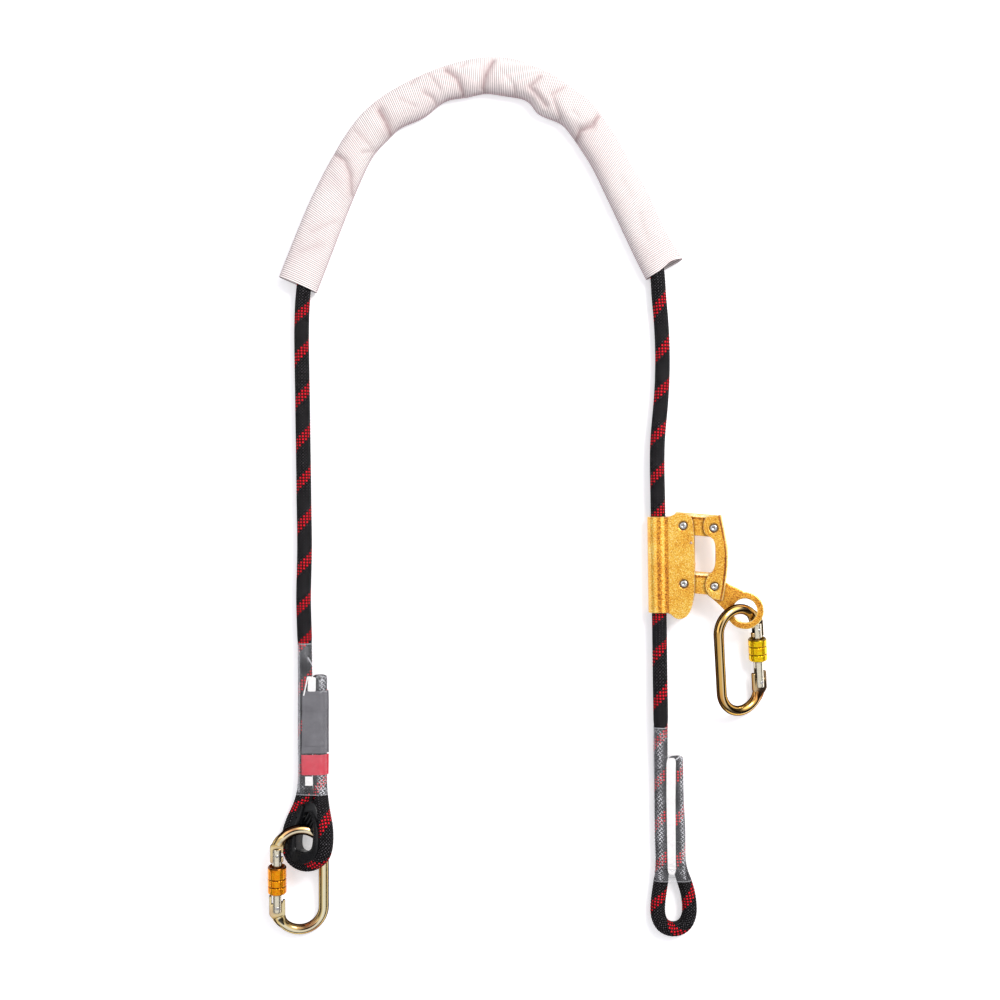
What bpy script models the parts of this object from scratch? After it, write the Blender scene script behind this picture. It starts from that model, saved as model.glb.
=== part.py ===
"""A tree climbing lanyard, lying flat: a rope with an eye at each end, a webbing sleeve over
its arch, a toggle-linkage rope grab, and two steel connectors with screw-sleeve gates.

Metres, +Z up. The surface it lies on is z = 0, and +Y runs from the eyes to the arch."""

import math

import bmesh
import bpy
import numpy as np
from mathutils import Matrix, Vector

# Clearances
GAP = 0.0003  # between pieces that lie against each other
RUNNING = 0.0003  # between a pivot and its hole
OVERRUN = 0.004  # how far a cutter passes the faces it cuts
ROUND_STEPS = 18  # sides of a small turned piece

# Rope
ROPE_DIAMETER = 0.015
SPLICE_ROPE_SHARE = 0.95  # the film squeezes the rope to this share of its diameter
SPLICE_EASE = 0.0030  # how far past the film the rope is still squeezed
LONGEST_STEP_SHARE = 2.3  # the most between two tube points, in diameters
MOST_TURN = math.radians(20)  # the most turn between two tube points

# The rope's route from the left tail to the right tail, as x, y, z
LEFT_TAIL_ROUTE = [
    (-0.1979, -0.1790, 0.00810),
    (-0.1979, -0.2150, 0.00810),
    (-0.1979, -0.2500, 0.00810),
    (-0.1979, -0.2820, 0.00830),
]
LEFT_EYE_ROUTE = [
    (-0.1964, -0.3029, 0.01200),
    (-0.1930, -0.3167, 0.02050),
    (-0.1896, -0.3307, 0.02830),
    (-0.1892, -0.3390, 0.03040),
    (-0.1899, -0.3470, 0.03100),
    (-0.1925, -0.3547, 0.02990),
    (-0.1977, -0.3605, 0.02720),
    (-0.2041, -0.3642, 0.02360),
    (-0.2111, -0.3657, 0.01950),
    (-0.2181, -0.3648, 0.01520),
    (-0.2244, -0.3610, 0.01130),
    (-0.2281, -0.3542, 0.00860),
    (-0.2291, -0.3460, 0.00780),
    (-0.2283, -0.3378, 0.00780),
    (-0.2231, -0.3222, 0.00820),
    (-0.2165, -0.3071, 0.00820),
]
LEFT_LEG_ROUTE = [
    (-0.2127, -0.2820, 0.00810),
    (-0.2127, -0.2500, 0.00810),
    (-0.2127, -0.2150, 0.00810),
    (-0.2128, -0.1700, 0.00810),
    (-0.2132, -0.1450, 0.00810),
    (-0.2144, -0.1050, 0.00750),
    (-0.2135, -0.0600, 0.00750),
    (-0.2139, -0.0150, 0.00750),
    (-0.2145, 0.0300, 0.00750),
    (-0.2152, 0.0750, 0.00750),
    (-0.2158, 0.1150, 0.00750),
    (-0.2164, 0.1550, 0.00750),
    (-0.2158, 0.1850, 0.00810),
]
ARCH_ROUTE = [
    (-0.2138, 0.2080, 0.00900),
    (-0.2085, 0.2330, 0.00900),
    (-0.1995, 0.2600, 0.00900),
    (-0.1850, 0.2950, 0.00900),
    (-0.1640, 0.3390, 0.00900),
    (-0.1400, 0.3690, 0.00900),
    (-0.1010, 0.3965, 0.00900),
    (-0.0680, 0.4115, 0.00900),
    (-0.0320, 0.4195, 0.00900),
    (-0.0020, 0.4165, 0.00900),
    (0.0290, 0.4015, 0.00900),
    (0.0585, 0.3760, 0.00900),
    (0.0790, 0.3515, 0.00900),
    (0.0905, 0.3325, 0.00900),
    (0.1130, 0.2880, 0.00900),
    (0.1320, 0.2470, 0.00900),
    (0.1388, 0.2230, 0.00890),
]
RIGHT_LEG_ROUTE = [
    (0.1405, 0.2020, 0.00860),
    (0.1425, 0.1800, 0.00780),
    (0.1443, 0.1480, 0.00750),
    (0.1440, 0.1120, 0.00760),
    (0.1420, 0.0840, 0.00850),
    (0.1397, 0.0600, 0.01010),
]
RIGHT_END_ROUTE = [
    (0.1424, -0.2500, 0.00940),
    (0.1427, -0.2700, 0.00820),
    (0.1433, -0.3050, 0.00810),
    (0.1440, -0.3450, 0.00810),
    (0.1443, -0.3720, 0.00810),
    (0.1418, -0.3930, 0.00760),
    (0.1398, -0.4100, 0.00750),
    (0.1402, -0.4200, 0.00750),
    (0.1452, -0.4300, 0.00750),
    (0.1552, -0.4338, 0.00750),
    (0.1655, -0.4300, 0.00750),
    (0.1708, -0.4200, 0.00750),
    (0.1712, -0.4080, 0.00750),
    (0.1685, -0.3930, 0.00760),
    (0.1618, -0.3720, 0.00810),
    (0.1603, -0.3450, 0.00810),
    (0.1588, -0.3050, 0.00810),
    (0.1580, -0.2700, 0.00810),
    (0.1579, -0.2600, 0.00810),
]
# The straight run that the grab slides on: its upper end, its slope across per metre down
GRAB_RUN_TOP = (0.1388, 0.0370, 0.01090)
GRAB_RUN_SLOPE = 0.01326
GRAB_RUN_LENGTH = 0.2640
GRAB_RUN_POINTS = 8

# Protective sleeve: tubular webbing over the arch
SLEEVE_SPAN = 0.369  # between the middles of its two ends
SLEEVE_RISE = 0.2104  # from the left end's middle to the crown
SLEEVE_MIDDLE = -0.0375  # x of the span's middle
SLEEVE_FOOT = 0.2100  # y of the left end's middle
SLEEVE_END_HALF_WIDTH = 0.0205
SLEEVE_CROWN_HALF_WIDTH = 0.0182
SLEEVE_HEIGHT = 0.0192
SLEEVE_WALL = 0.0011
SLEEVE_EDGE_HEIGHT = 0.0060  # of the pressed side folds
SLEEVE_FULLNESS = 0.8  # power of the section's curve, 1 for an ellipse
SLEEVE_FOLD_DEPTH = 0.0006  # of the main folds across the bend
SLEEVE_STATIONS = 24
SLEEVE_SIDES = 18
SLEEVE_FOLDS = 11  # main folds along the arch
# The sleeve's middle line: x as a share of the span, y as a share of the rise
SLEEVE_LINE_SHARES = [
    (-0.500, 0.000),
    (-0.452, 0.201),
    (-0.405, 0.404),
    (-0.3455, 0.6226),
    (-0.2832, 0.7652),
    (-0.1707, 0.8911),
    (-0.0827, 0.9624),
    (0.0149, 1.0),
    (0.0962, 0.9862),
    (0.1816, 0.9149),
    (0.2615, 0.7937),
    (0.3184, 0.6796),
    (0.3482, 0.5894),
    (0.4119, 0.3755),
    (0.4600, 0.2020),
    (0.500, 0.0713),
]

# Film over each splice, thin tube shrunk on the rope and its sewn tail
FILM_WALL = 0.0004
FILM_RISE_SHARE = 0.11  # how much higher than round the film stands over the label
FILM_SIDES = 18
LEFT_FILM_TOP = -0.1480
LEFT_FILM_BOTTOM = -0.2950
RIGHT_FILM_TOP = -0.2290
RIGHT_FILM_BOTTOM = -0.3800
FILM_LEAD = 0.0110  # how far above the tail's end the film closes on the rope alone
FILM_STATIONS = 9

# Blank labels under the film, and the thread that sews each tail down
LABEL_THICKNESS = 0.0003
LEFT_LABEL_WIDTH = 0.0180
LEFT_LABEL_LENGTH = 0.0620
LEFT_LABEL_TOP = -0.1950
RIGHT_LABEL_WIDTH = 0.0085
RIGHT_LABEL_LENGTH = 0.1000
RIGHT_LABEL_TOP = -0.2680
THREAD_DIAMETER = 0.0008
THREAD_HALF_WIDTH = 0.0026
THREAD_STITCHES = 14
THREAD_HEIGHT = 0.0065  # of the thread over the ropes' middle line
LEFT_THREAD_SPAN = (-0.1900, -0.2820)
RIGHT_THREAD_SPAN = (-0.2700, -0.3600)

# Thimble in the left eye
THIMBLE_WALL = 0.0014
THIMBLE_WRAP = math.radians(64)  # how far round the rope it reaches each way
THIMBLE_TIP_Y = -0.3190  # where its two tips end, along the limbs
THIMBLE_PROFILE_STEPS = 7

# Rope grab, in its own frame: origin on the rope's line, x towards the handle, y up the rope
GRAB_DOWN = 0.0965  # how far down its run the grab lies
GRAB_ROLL = math.radians(10.7)  # the handle side is raised by the connector under its ring
PIVOT_ACROSS = 0.0252  # from the rope's line to the body pivots
PIVOT_SPACING = 0.0575
ARM_LENGTH = 0.0300  # between an arm's two pivots
ARM_ANGLE = math.radians(-5)
CHANNEL_BORE = 0.0082
SHELL_WALL = 0.0025
PLATE_HALF = 0.0023  # half of the lever plate's thickness
ARM_WALL = 0.0029
FLANGE_REACH = 0.0368  # from the rope's line to the flange's edge
SHELL_TOP = 0.0380
SHELL_BOTTOM = -0.0590
FLANGE_CROWN = 0.0033  # how far the flange passes the channel's top
FLANGE_TOE = 0.0055  # how far it passes the channel's bottom
FLANGE_TAPER = 0.0190  # how far up its outer edge starts to taper
FLANGE_TOE_IN = 0.0085  # how far in the taper ends
SPY_HOLE_RADIUS = 0.0013
SPY_HOLE_PLACE = (0.0325, 0.0115)
RIVET_SHANK = 0.0030
RIVET_HEAD = 0.0040
RIVET_RECESS = 0.0046
RIVET_RECESS_DEPTH = 0.0012
RIVET_PROUD = 0.0003
ARM_OVER = 0.0129  # the arm's web, above its pivots' line
ARM_UNDER = 0.0085
ARM_HEEL = 0.0085  # round end at the shell
ARM_TOE = 0.0062  # round end inside the handle
CAM_GAP = 0.0004  # from the rope to the cam's face
CAM_NOSE = 0.0068  # length of the cam's thick nose, across
CAM_REACH = 0.0100  # how far the cam's face runs below its pivot
CAM_EYE = 0.0088  # radius of the cam plate about its pivot
RING_PLACE = (0.0843, -0.0556)  # the lever ring's middle, in the grab's frame
RING_OUTER = 0.0183
RING_HOLE = 0.0118
HANDLE_WALL = 0.0025
HANDLE_EAR = 0.0083
HANDLE_TOP = 0.0115  # over the upper outer pivot
HANDLE_BOTTOM = 0.0130  # below the lower outer pivot
HANDLE_BACK = 0.0096  # from the outer pivots to the back at its ends
HANDLE_BULGE = 0.0145  # from the outer pivots to the back where it bulges
HANDLE_WAIST = 0.0040  # from the outer pivots to the waist's edge
WAIST_MARGIN = 0.0150  # from a pivot to the waist's end
WEB_END = 0.0085  # how far over the lower outer pivot the web stops
LEVER_ROOT = 0.0240  # where the lever plate leaves the arm, from its pivot

# Connectors, each in its own frame: origin at the loop's middle, y towards the eye
LOOP_LENGTH = 0.104  # along the rod's middle line
LOOP_WIDTH = 0.046
ROD_DIAMETER = 0.010
ROD_END_RISE = 0.0081  # how far past its straight sides the round rod ends
TONGUE_THICKNESS = 0.0044
TONGUE_SLOT = 0.0050
TONGUE_HALF = 0.0079  # half of the hinge tongue's width
TONGUE_CROWN = 0.0060  # from the hinge pin to the tongue's cam edge
CAM_RISE = 0.0013  # how much further the cam edge stands at the open end
TONGUE_ROOT = 0.0100  # from the pin to the round rod
TONGUE_TAIL = 0.0140  # how far its root runs into the rod
SHOULDER_INSIDE = 0.0054  # from the gate's middle line to a shoulder's inner side
NOSE_OUT = 0.0066
NOSE_IN = 0.0062
NOSE_TIP = 0.0075
NOSE_SLOT_UP = 0.0022
NOSE_SLOT_DOWN = 0.0025
NOSE_SLOT_END = 0.0022
GATE_DIAMETER = 0.0096
GATE_BORE = 0.0060
GATE_TAIL = 0.0055  # below the hinge pin
GATE_HEAD = 0.0063  # above the latch pin
HINGE_SLOT = 0.0150  # above the hinge pin
LATCH_SLOT = 0.0083  # below the latch pin
BORE_BELOW_LATCH = 0.0110  # from the latch pin to the top of the bore
HINGE_PIN_RADIUS = 0.0020
LATCH_PIN_RADIUS = 0.0016
PIN_PROUD = 0.0001
PLUNGER_TIP_RADIUS = 0.0012
PLUNGER_TIP_LENGTH = 0.0080
PLUNGER_HEAD_RADIUS = 0.0027
PLUNGER_HEAD_LENGTH = 0.0045
PLUNGER_TRAVEL = 0.0014
SPRING_WIRE = 0.0006
SPRING_RADIUS = 0.0022
SPRING_TURNS = 6
SPRING_STEPS = 6
LOCK_RADIUS = 0.0092
LOCK_THREAD_BORE = 0.0051
LOCK_SKIRT_BORE = 0.0073
LOCK_SKIRT_DEPTH = 0.0090
LOCK_GROOVE_DEPTH = 0.0006
LOCK_GROOVE_WIDTH = 0.0012
LOCK_CHAMFER = 0.0008

PIVOT_TO_LATCH = LOOP_LENGTH - LOOP_WIDTH + 2 * (ROD_END_RISE - TONGUE_ROOT)
GATE_BORE_TOP = PIVOT_TO_LATCH - BORE_BELOW_LATCH  # above the hinge pin

LEFT_LINK = {
    "side": -1,
    "place": (-0.21654, -0.38273, 0.0141),
    "turn": (8.09, 9.98, 0.40),
    "lock_length": 0.0277,
    "lock_below_latch": 0.0118,
    "outer_shoulder": 0.0120,
    "inner_shoulder": 0.0070,
    "grooves": (0.44, 0.72),
    "lock_colour": (0.85, 0.20, 0.03),
}
RIGHT_LINK = {
    "side": 1,
    "place": (0.21873, -0.16346, 0.02196),
    "turn": (11.65, 25.91, 9.75),
    "lock_length": 0.0225,
    "lock_below_latch": 0.0092,
    "outer_shoulder": 0.0105,
    "inner_shoulder": 0.0100,
    "grooves": (0.34, 0.70),
    "lock_colour": (0.85, 0.62, 0.05),
}


def empty_scene():
    for thing in list(bpy.data.objects):
        bpy.data.objects.remove(thing, do_unlink=True)
    for group in list(bpy.data.collections):
        bpy.data.collections.remove(group)


def new_collection(name):
    group = bpy.data.collections.new(name)
    bpy.context.scene.collection.children.link(group)
    return group


def new_material(name, colour, roughness, metallic=0.0):
    finish = bpy.data.materials.new(name)
    finish.use_nodes = True
    shader = finish.node_tree.nodes["Principled BSDF"]
    shader.inputs["Base Color"].default_value = (*colour, 1)
    shader.inputs["Roughness"].default_value = roughness
    shader.inputs["Metallic"].default_value = metallic
    return finish


def settle(thing, parent, location, rotation):
    thing.parent = parent
    thing.location = location
    thing.rotation_euler = rotation
    return thing


def new_object(name, mesh, finish, parent=None, location=(0, 0, 0), rotation=(0, 0, 0)):
    thing = bpy.data.objects.new(name, mesh)
    mesh.materials.clear()
    mesh.materials.append(finish)
    mesh.shade_smooth()
    mesh.set_sharp_from_angle(angle=math.radians(35))
    PARTS.objects.link(thing)
    return settle(thing, parent, location, rotation)


def new_pivot(name, parent, location, rotation=(0, 0, 0)):
    thing = bpy.data.objects.new(name, None)
    PARTS.objects.link(thing)
    return settle(thing, parent, location, rotation)


def mesh_of_curve(name, curve):
    """The curve as one welded closed mesh."""
    guide = bpy.data.objects.new(name, curve)
    bpy.context.scene.collection.objects.link(guide)
    graph = bpy.context.evaluated_depsgraph_get()
    mesh = bpy.data.meshes.new_from_object(guide.evaluated_get(graph))
    bpy.data.objects.remove(guide)
    work = bmesh.new()
    work.from_mesh(mesh)
    bmesh.ops.remove_doubles(work, verts=work.verts, dist=GAP / 100)
    bmesh.ops.recalc_face_normals(work, faces=work.faces)
    work.to_mesh(mesh)
    work.free()
    mesh.name = name
    return mesh


def prism_mesh(name, outlines, half_depth):
    """Flat outlines, the later ones holes, with half_depth of material each way."""
    curve = bpy.data.curves.new(name, "CURVE")
    curve.dimensions = "2D"
    curve.fill_mode = "BOTH"
    curve.extrude = half_depth
    for outline in outlines:
        line = curve.splines.new("POLY")
        line.points.add(len(outline) - 1)
        for point, (x, y) in zip(line.points, outline):
            point.co = (x, y, 0, 1)
        line.use_cyclic_u = True
    return mesh_of_curve(name, curve)


def tube_mesh(name, points, radius, sides=12, swell=None):
    """A round tube along points. swell gives each point's share of the radius."""
    curve = bpy.data.curves.new(name, "CURVE")
    curve.dimensions = "3D"
    curve.twist_mode = "MINIMUM"
    curve.bevel_depth = radius
    curve.bevel_resolution = sides // 2 - 2
    curve.use_fill_caps = True
    line = curve.splines.new("POLY")
    line.points.add(len(points) - 1)
    for index, (point, place) in enumerate(zip(line.points, points)):
        point.co = (*place, 1)
        point.radius = 1 if swell is None else swell[index]
    return mesh_of_curve(name, curve)


def drum_mesh(name, radius, half_length, along="Z", middle=(0, 0, 0), steps=ROUND_STEPS):
    turn = {
        "X": Matrix.Rotation(math.pi / 2, 4, "Y"),
        "Y": Matrix.Rotation(-math.pi / 2, 4, "X"),
        "Z": Matrix.Identity(4),
    }[along]
    work = bmesh.new()
    bmesh.ops.create_cone(
        work,
        cap_ends=True,
        segments=steps,
        radius1=radius,
        radius2=radius,
        depth=2 * half_length,
        matrix=Matrix.Translation(middle) @ turn,
    )
    mesh = bpy.data.meshes.new(name)
    work.to_mesh(mesh)
    work.free()
    return mesh


def box_mesh(name, low, high):
    work = bmesh.new()
    bmesh.ops.create_cube(work, size=1)
    for corner in work.verts:
        corner.co = [
            a if side < 0 else b for a, b, side in zip(low, high, corner.co)
        ]
    mesh = bpy.data.meshes.new(name)
    work.to_mesh(mesh)
    work.free()
    return mesh


def turned(name, profile, finish, parent, location=(0, 0, 0), rotation=(0, 0, 0), steps=ROUND_STEPS):
    """A closed profile of radius and height, turned about z."""
    work = bmesh.new()
    corners = [work.verts.new((radius, 0, height)) for radius, height in profile]
    for first, second in zip(corners, corners[1:] + corners[:1]):
        if first.co.x > GAP / 10 or second.co.x > GAP / 10:
            work.edges.new((first, second))
    mesh = bpy.data.meshes.new(name)
    work.to_mesh(mesh)
    work.free()
    thing = new_object(name, mesh, finish, parent, location, rotation)
    screw = thing.modifiers.new("turn", "SCREW")
    screw.axis = "Z"
    screw.steps = steps
    screw.render_steps = steps
    screw.use_merge_vertices = True
    screw.merge_threshold = GAP / 100
    return thing


def apply_boolean(thing, mesh, operation="DIFFERENCE", rotation=(0, 0, 0)):
    """Cuts or joins a mesh given in the object's own frame."""
    tool = bpy.data.objects.new(f"{thing.name}_{operation.lower()}", mesh)
    TOOLS.objects.link(tool)
    settle(tool, thing, (0, 0, 0), rotation)
    tool.hide_render = True
    tool.display_type = "WIRE"
    change = thing.modifiers.new(operation.lower(), "BOOLEAN")
    change.operation = operation
    change.solver = "EXACT"
    change.object = tool
    return change


def arc(middle, radius, start, end, steps):
    """Points on a circle's arc, both ends among them."""
    return [
        (
            middle[0] + radius * math.cos(start + (end - start) * k / steps),
            middle[1] + radius * math.sin(start + (end - start) * k / steps),
        )
        for k in range(steps + 1)
    ]


def circle(middle, radius, steps=ROUND_STEPS):
    return arc(middle, radius, 0, 2 * math.pi * (steps - 1) / steps, steps - 1)


def rounded(corners, steps=4):
    """An outline whose corners, each x, y and a radius, are rounded off."""
    outline = []
    for index, (x, y, radius) in enumerate(corners):
        here = Vector((x, y))
        before = Vector(corners[index - 1][:2]) - here
        after = Vector(corners[(index + 1) % len(corners)][:2]) - here
        if radius <= 0:
            outline.append((x, y))
            continue
        half = before.angle(after) / 2
        back = min(radius / math.tan(half), before.length / 2, after.length / 2)
        radius = back * math.tan(half)
        middle = here + (before.normalized() + after.normalized()).normalized() * (
            radius / math.sin(half)
        )
        first = here + before.normalized() * back - middle
        last = here + after.normalized() * back - middle
        turn = first.angle_signed(last)
        for k in range(steps + 1):
            spoke = Matrix.Rotation(-turn * k / steps, 2) @ first
            outline.append(tuple(middle + spoke))
    return outline


def smooth_curve(points, per_span=24):
    """A dense natural cubic spline through points, spaced by their distances."""
    places = np.array(points, float)
    steps = np.linalg.norm(np.diff(places, axis=0), axis=1)
    count = len(places)
    matrix = np.eye(count)
    right = np.zeros_like(places)
    for k in range(1, count - 1):
        matrix[k, k - 1 : k + 2] = steps[k - 1], 2 * (steps[k - 1] + steps[k]), steps[k]
        right[k] = 6 * (
            (places[k + 1] - places[k]) / steps[k] - (places[k] - places[k - 1]) / steps[k - 1]
        )
    bend = np.linalg.solve(matrix, right)
    dense = []
    for k in range(count - 1):
        for t in np.linspace(0, steps[k], per_span, endpoint=False):
            rest = steps[k] - t
            dense.append(
                (bend[k] * rest**3 + bend[k + 1] * t**3) / (6 * steps[k])
                + (places[k] / steps[k] - bend[k] * steps[k] / 6) * rest
                + (places[k + 1] / steps[k] - bend[k + 1] * steps[k] / 6) * t
            )
    dense.append(places[-1])
    return np.array(dense)


def thinned(dense, longest, most_turn, always=()):
    """Points of a dense line: those always kept, and a new one after each longest run or
    most_turn of bend."""
    kept = [0]
    run = turned_by = 0.0
    for k in range(1, len(dense) - 1):
        ahead = dense[k + 1] - dense[k]
        behind = dense[k] - dense[k - 1]
        run += np.linalg.norm(behind)
        cosine = ahead @ behind / np.linalg.norm(ahead) / np.linalg.norm(behind)
        turned_by += math.acos(min(1.0, cosine))
        if run >= longest or turned_by >= most_turn or k in always:
            kept.append(k)
            run = turned_by = 0.0
    kept.append(len(dense) - 1)
    return dense[kept]


def grab_run():
    """The straight points that the grab slides along, top to bottom."""
    x, y, z = GRAB_RUN_TOP
    downs = [GRAB_RUN_LENGTH * k / (GRAB_RUN_POINTS - 1) for k in range(GRAB_RUN_POINTS)]
    return [(x + down * GRAB_RUN_SLOPE, y - down, z) for down in downs]


def rope_route():
    return (
        LEFT_TAIL_ROUTE
        + LEFT_EYE_ROUTE
        + LEFT_LEG_ROUTE
        + ARCH_ROUTE
        + RIGHT_LEG_ROUTE
        + grab_run()
        + RIGHT_END_ROUTE
    )


def in_splice(place):
    """Whether the film squeezes the rope here."""
    x, y, _ = place
    top, bottom = (
        (LEFT_FILM_TOP, LEFT_FILM_BOTTOM) if x < 0 else (RIGHT_FILM_TOP, RIGHT_FILM_BOTTOM)
    )
    return bottom - SPLICE_EASE < y < top + SPLICE_EASE


def build_rope():
    dense = smooth_curve(rope_route())
    squeezed = [in_splice(place) for place in dense]
    edges = {
        k for k in range(1, len(dense) - 1) if len({*squeezed[k - 1 : k + 2]}) > 1
    }
    line = thinned(dense, LONGEST_STEP_SHARE * ROPE_DIAMETER, MOST_TURN, edges)
    swell = [SPLICE_ROPE_SHARE if in_splice(place) else 1.0 for place in line]
    mesh = tube_mesh("rope", line, ROPE_DIAMETER / 2, 10, swell)
    new_object("rope", mesh, BLACK_ROPE)
    return line


def rope_across(line, y, near_x):
    """Where the rope's middle line passes the height y, on the limb nearest near_x."""
    found = None
    for first, second in zip(line[:-1], line[1:]):
        if (first[1] - y) * (second[1] - y) > 0:
            continue
        share = (first[1] - y) / (first[1] - second[1] + 1e-12)
        place = first + (second - first) * min(max(share, 0), 1)
        if found is None or abs(place[0] - near_x) < abs(found[0] - near_x):
            found = place
    return found


def ring_loft(name, rings, finish, cyclic=True):
    """A closed solid through rings of points, each a closed section. With cyclic the first
    ring also joins the last, and otherwise each end is capped."""
    work = bmesh.new()
    rows = [[work.verts.new(point) for point in ring] for ring in rings]
    pairs = list(zip(rows, rows[1:]))
    if cyclic:
        pairs.append((rows[-1], rows[0]))
    for first, second in pairs:
        for k in range(len(first)):
            after = (k + 1) % len(first)
            work.faces.new((first[k], first[after], second[after], second[k]))
    if not cyclic:
        work.faces.new(list(reversed(rows[0])))
        work.faces.new(rows[-1])
    bmesh.ops.recalc_face_normals(work, faces=work.faces)
    mesh = bpy.data.meshes.new(name)
    work.to_mesh(mesh)
    work.free()
    return new_object(name, mesh, finish)


def sleeve_section(half_width, height, bottom, inset):
    """A webbing tube's section, flat below and domed above, moved in by inset."""
    points = []
    edge = SLEEVE_EDGE_HEIGHT
    for k in range(SLEEVE_SIDES):
        angle = 2 * math.pi * k / SLEEVE_SIDES
        across = math.copysign(abs(math.cos(angle)) ** SLEEVE_FULLNESS, math.cos(angle))
        up = math.copysign(abs(math.sin(angle)) ** SLEEVE_FULLNESS, math.sin(angle))
        x = (half_width - inset) * across
        if up >= 0:
            z = edge + (height - inset - edge) * up
        else:
            z = max(bottom + inset, edge + (edge - bottom) * up * 1.5)
        points.append((x, z))
    return points


def build_protective_sleeve():
    """A lofted tube of webbing that stands open at both ends."""
    foot = np.array([SLEEVE_MIDDLE, SLEEVE_FOOT])
    size = np.array([SLEEVE_SPAN, SLEEVE_RISE])
    places = [tuple(foot + size * share) + (0.0,) for share in np.array(SLEEVE_LINE_SHARES)]
    dense = smooth_curve(places)
    run = np.concatenate([[0], np.cumsum(np.linalg.norm(np.diff(dense, axis=0), axis=1))])
    outer = []
    inner = []
    for k in range(SLEEVE_STATIONS):
        along = k / (SLEEVE_STATIONS - 1)
        index = min(int(np.searchsorted(run, along * run[-1])), len(dense) - 2)
        middle = dense[index]
        ahead = dense[index + 1] - dense[max(index - 1, 0)]
        side = np.array([-ahead[1], ahead[0], 0]) / np.linalg.norm(ahead)
        crown = math.sin(math.pi * along)
        half_width = SLEEVE_END_HALF_WIDTH + (
            SLEEVE_CROWN_HALF_WIDTH - SLEEVE_END_HALF_WIDTH
        ) * crown
        height = SLEEVE_HEIGHT + SLEEVE_FOLD_DEPTH * crown * math.cos(
            2 * math.pi * SLEEVE_FOLDS * along
        )
        for rows, inset in ((outer, 0), (inner, SLEEVE_WALL)):
            section = sleeve_section(half_width, height, 0, inset)
            rows.append([middle + side * x + np.array([0, 0, z]) for x, z in section])
    ring_loft("protective_sleeve", outer + inner[::-1], WEBBING)


def film_section(main, tail, radius, rise):
    """The hull of two circles side by side, a little higher over their top."""
    points = []
    half = FILM_SIDES // 2
    for k in range(FILM_SIDES):
        angle = math.pi / 2 + 2 * math.pi * (k + 0.5) / FILM_SIDES
        middle = main if k < half else tail
        up = math.sin(angle) * radius
        if up > 0:
            up *= 1 + rise
        points.append((middle[0] + math.cos(angle) * radius, middle[1], middle[2] + up))
    return points


def build_film(name, line, top, bottom, tail_end, main_x, tail_x):
    """Shrunk film round the rope, and below the tail's end round rope and tail."""
    radius = SPLICE_ROPE_SHARE * ROPE_DIAMETER / 2 + GAP * 1.5
    lead_top = tail_end + FILM_LEAD
    stations = [top, (top + lead_top) / 2, lead_top, tail_end + GAP * 4]
    below = [tail_end - (tail_end - bottom) * k / FILM_STATIONS for k in range(1, FILM_STATIONS + 1)]
    outer = []
    inner = []
    for y in stations + below:
        main = rope_across(line, y, main_x)
        on_tail = y < tail_end + GAP * 5
        tail = rope_across(line, min(y, tail_end - GAP), tail_x) if on_tail else main
        tail = np.array([tail[0], y, tail[2]])
        pair = (main, tail) if main_x < tail_x else (tail, main)
        rise = FILM_RISE_SHARE if on_tail else 0
        outer.append(film_section(*pair, radius + FILM_WALL, rise))
        inner.append(film_section(*pair, radius, rise))
    ring_loft(name, outer + inner[::-1], CLEAR_FILM)


def build_label(name, line, top, length, width, main_x, tail_x, finish):
    """A thin blank strip on the crests of rope and tail, under the film."""
    rings = []
    rest = SPLICE_ROPE_SHARE * ROPE_DIAMETER / 2 + GAP
    for k in range(FILM_STATIONS):
        y = top - length * k / (FILM_STATIONS - 1)
        main = rope_across(line, y, main_x)
        tail = rope_across(line, y, tail_x)
        middle = (main[0] + tail[0]) / 2
        low = max(main[2], tail[2]) + rest
        high = low + LABEL_THICKNESS
        left = middle - width / 2
        right = middle + width / 2
        rings.append([(left, y, low), (right, y, low), (right, y, high), (left, y, high)])
    ring_loft(name, rings, finish, cyclic=False)


def build_stitching(name, line, span, main_x, tail_x):
    """The sewing thread, zigzag in the valley between rope and tail."""
    start, end = span
    points = []
    count = 2 * THREAD_STITCHES
    for k in range(count + 1):
        y = start + (end - start) * k / count
        main = rope_across(line, y, main_x)
        tail = rope_across(line, y, tail_x)
        middle = (main + tail) / 2
        side = THREAD_HALF_WIDTH if k % 2 else -THREAD_HALF_WIDTH
        points.append((middle[0] + side, y, middle[2] + THREAD_HEIGHT))
    new_object(name, tube_mesh(name, points, THREAD_DIAMETER / 2, 6), BLACK_THREAD)


def build_thimble(rope):
    """A plastic liner that hugs the eye's inner half, swept along the rope in the eye."""
    line = np.array([p for p in rope if p[0] < SLEEVE_MIDDLE and p[1] < THIMBLE_TIP_Y])
    middle = line.mean(axis=0)
    radius = ROPE_DIAMETER / 2 + GAP * 2
    rings = []
    for k, place in enumerate(line):
        after = line[min(k + 1, len(line) - 1)] - line[min(k, len(line) - 2)]
        before = line[max(k, 1)] - line[max(k - 1, 0)]
        ahead = after / np.linalg.norm(after) + before / np.linalg.norm(before)
        ahead = ahead / np.linalg.norm(ahead)
        inward = middle - place
        inward = inward - ahead * (inward @ ahead)
        inward = inward / np.linalg.norm(inward)
        normal = np.cross(ahead, inward)
        ring = []
        for size, order in ((radius, 1), (radius + THIMBLE_WALL, -1)):
            for step in range(THIMBLE_PROFILE_STEPS):
                share = 2 * step / (THIMBLE_PROFILE_STEPS - 1) - 1
                angle = order * THIMBLE_WRAP * share
                ring.append(
                    place + inward * size * math.cos(angle) + normal * size * math.sin(angle)
                )
        rings.append(ring)
    ring_loft("left_thimble", rings, BLACK_PLASTIC, cyclic=False)


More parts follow.
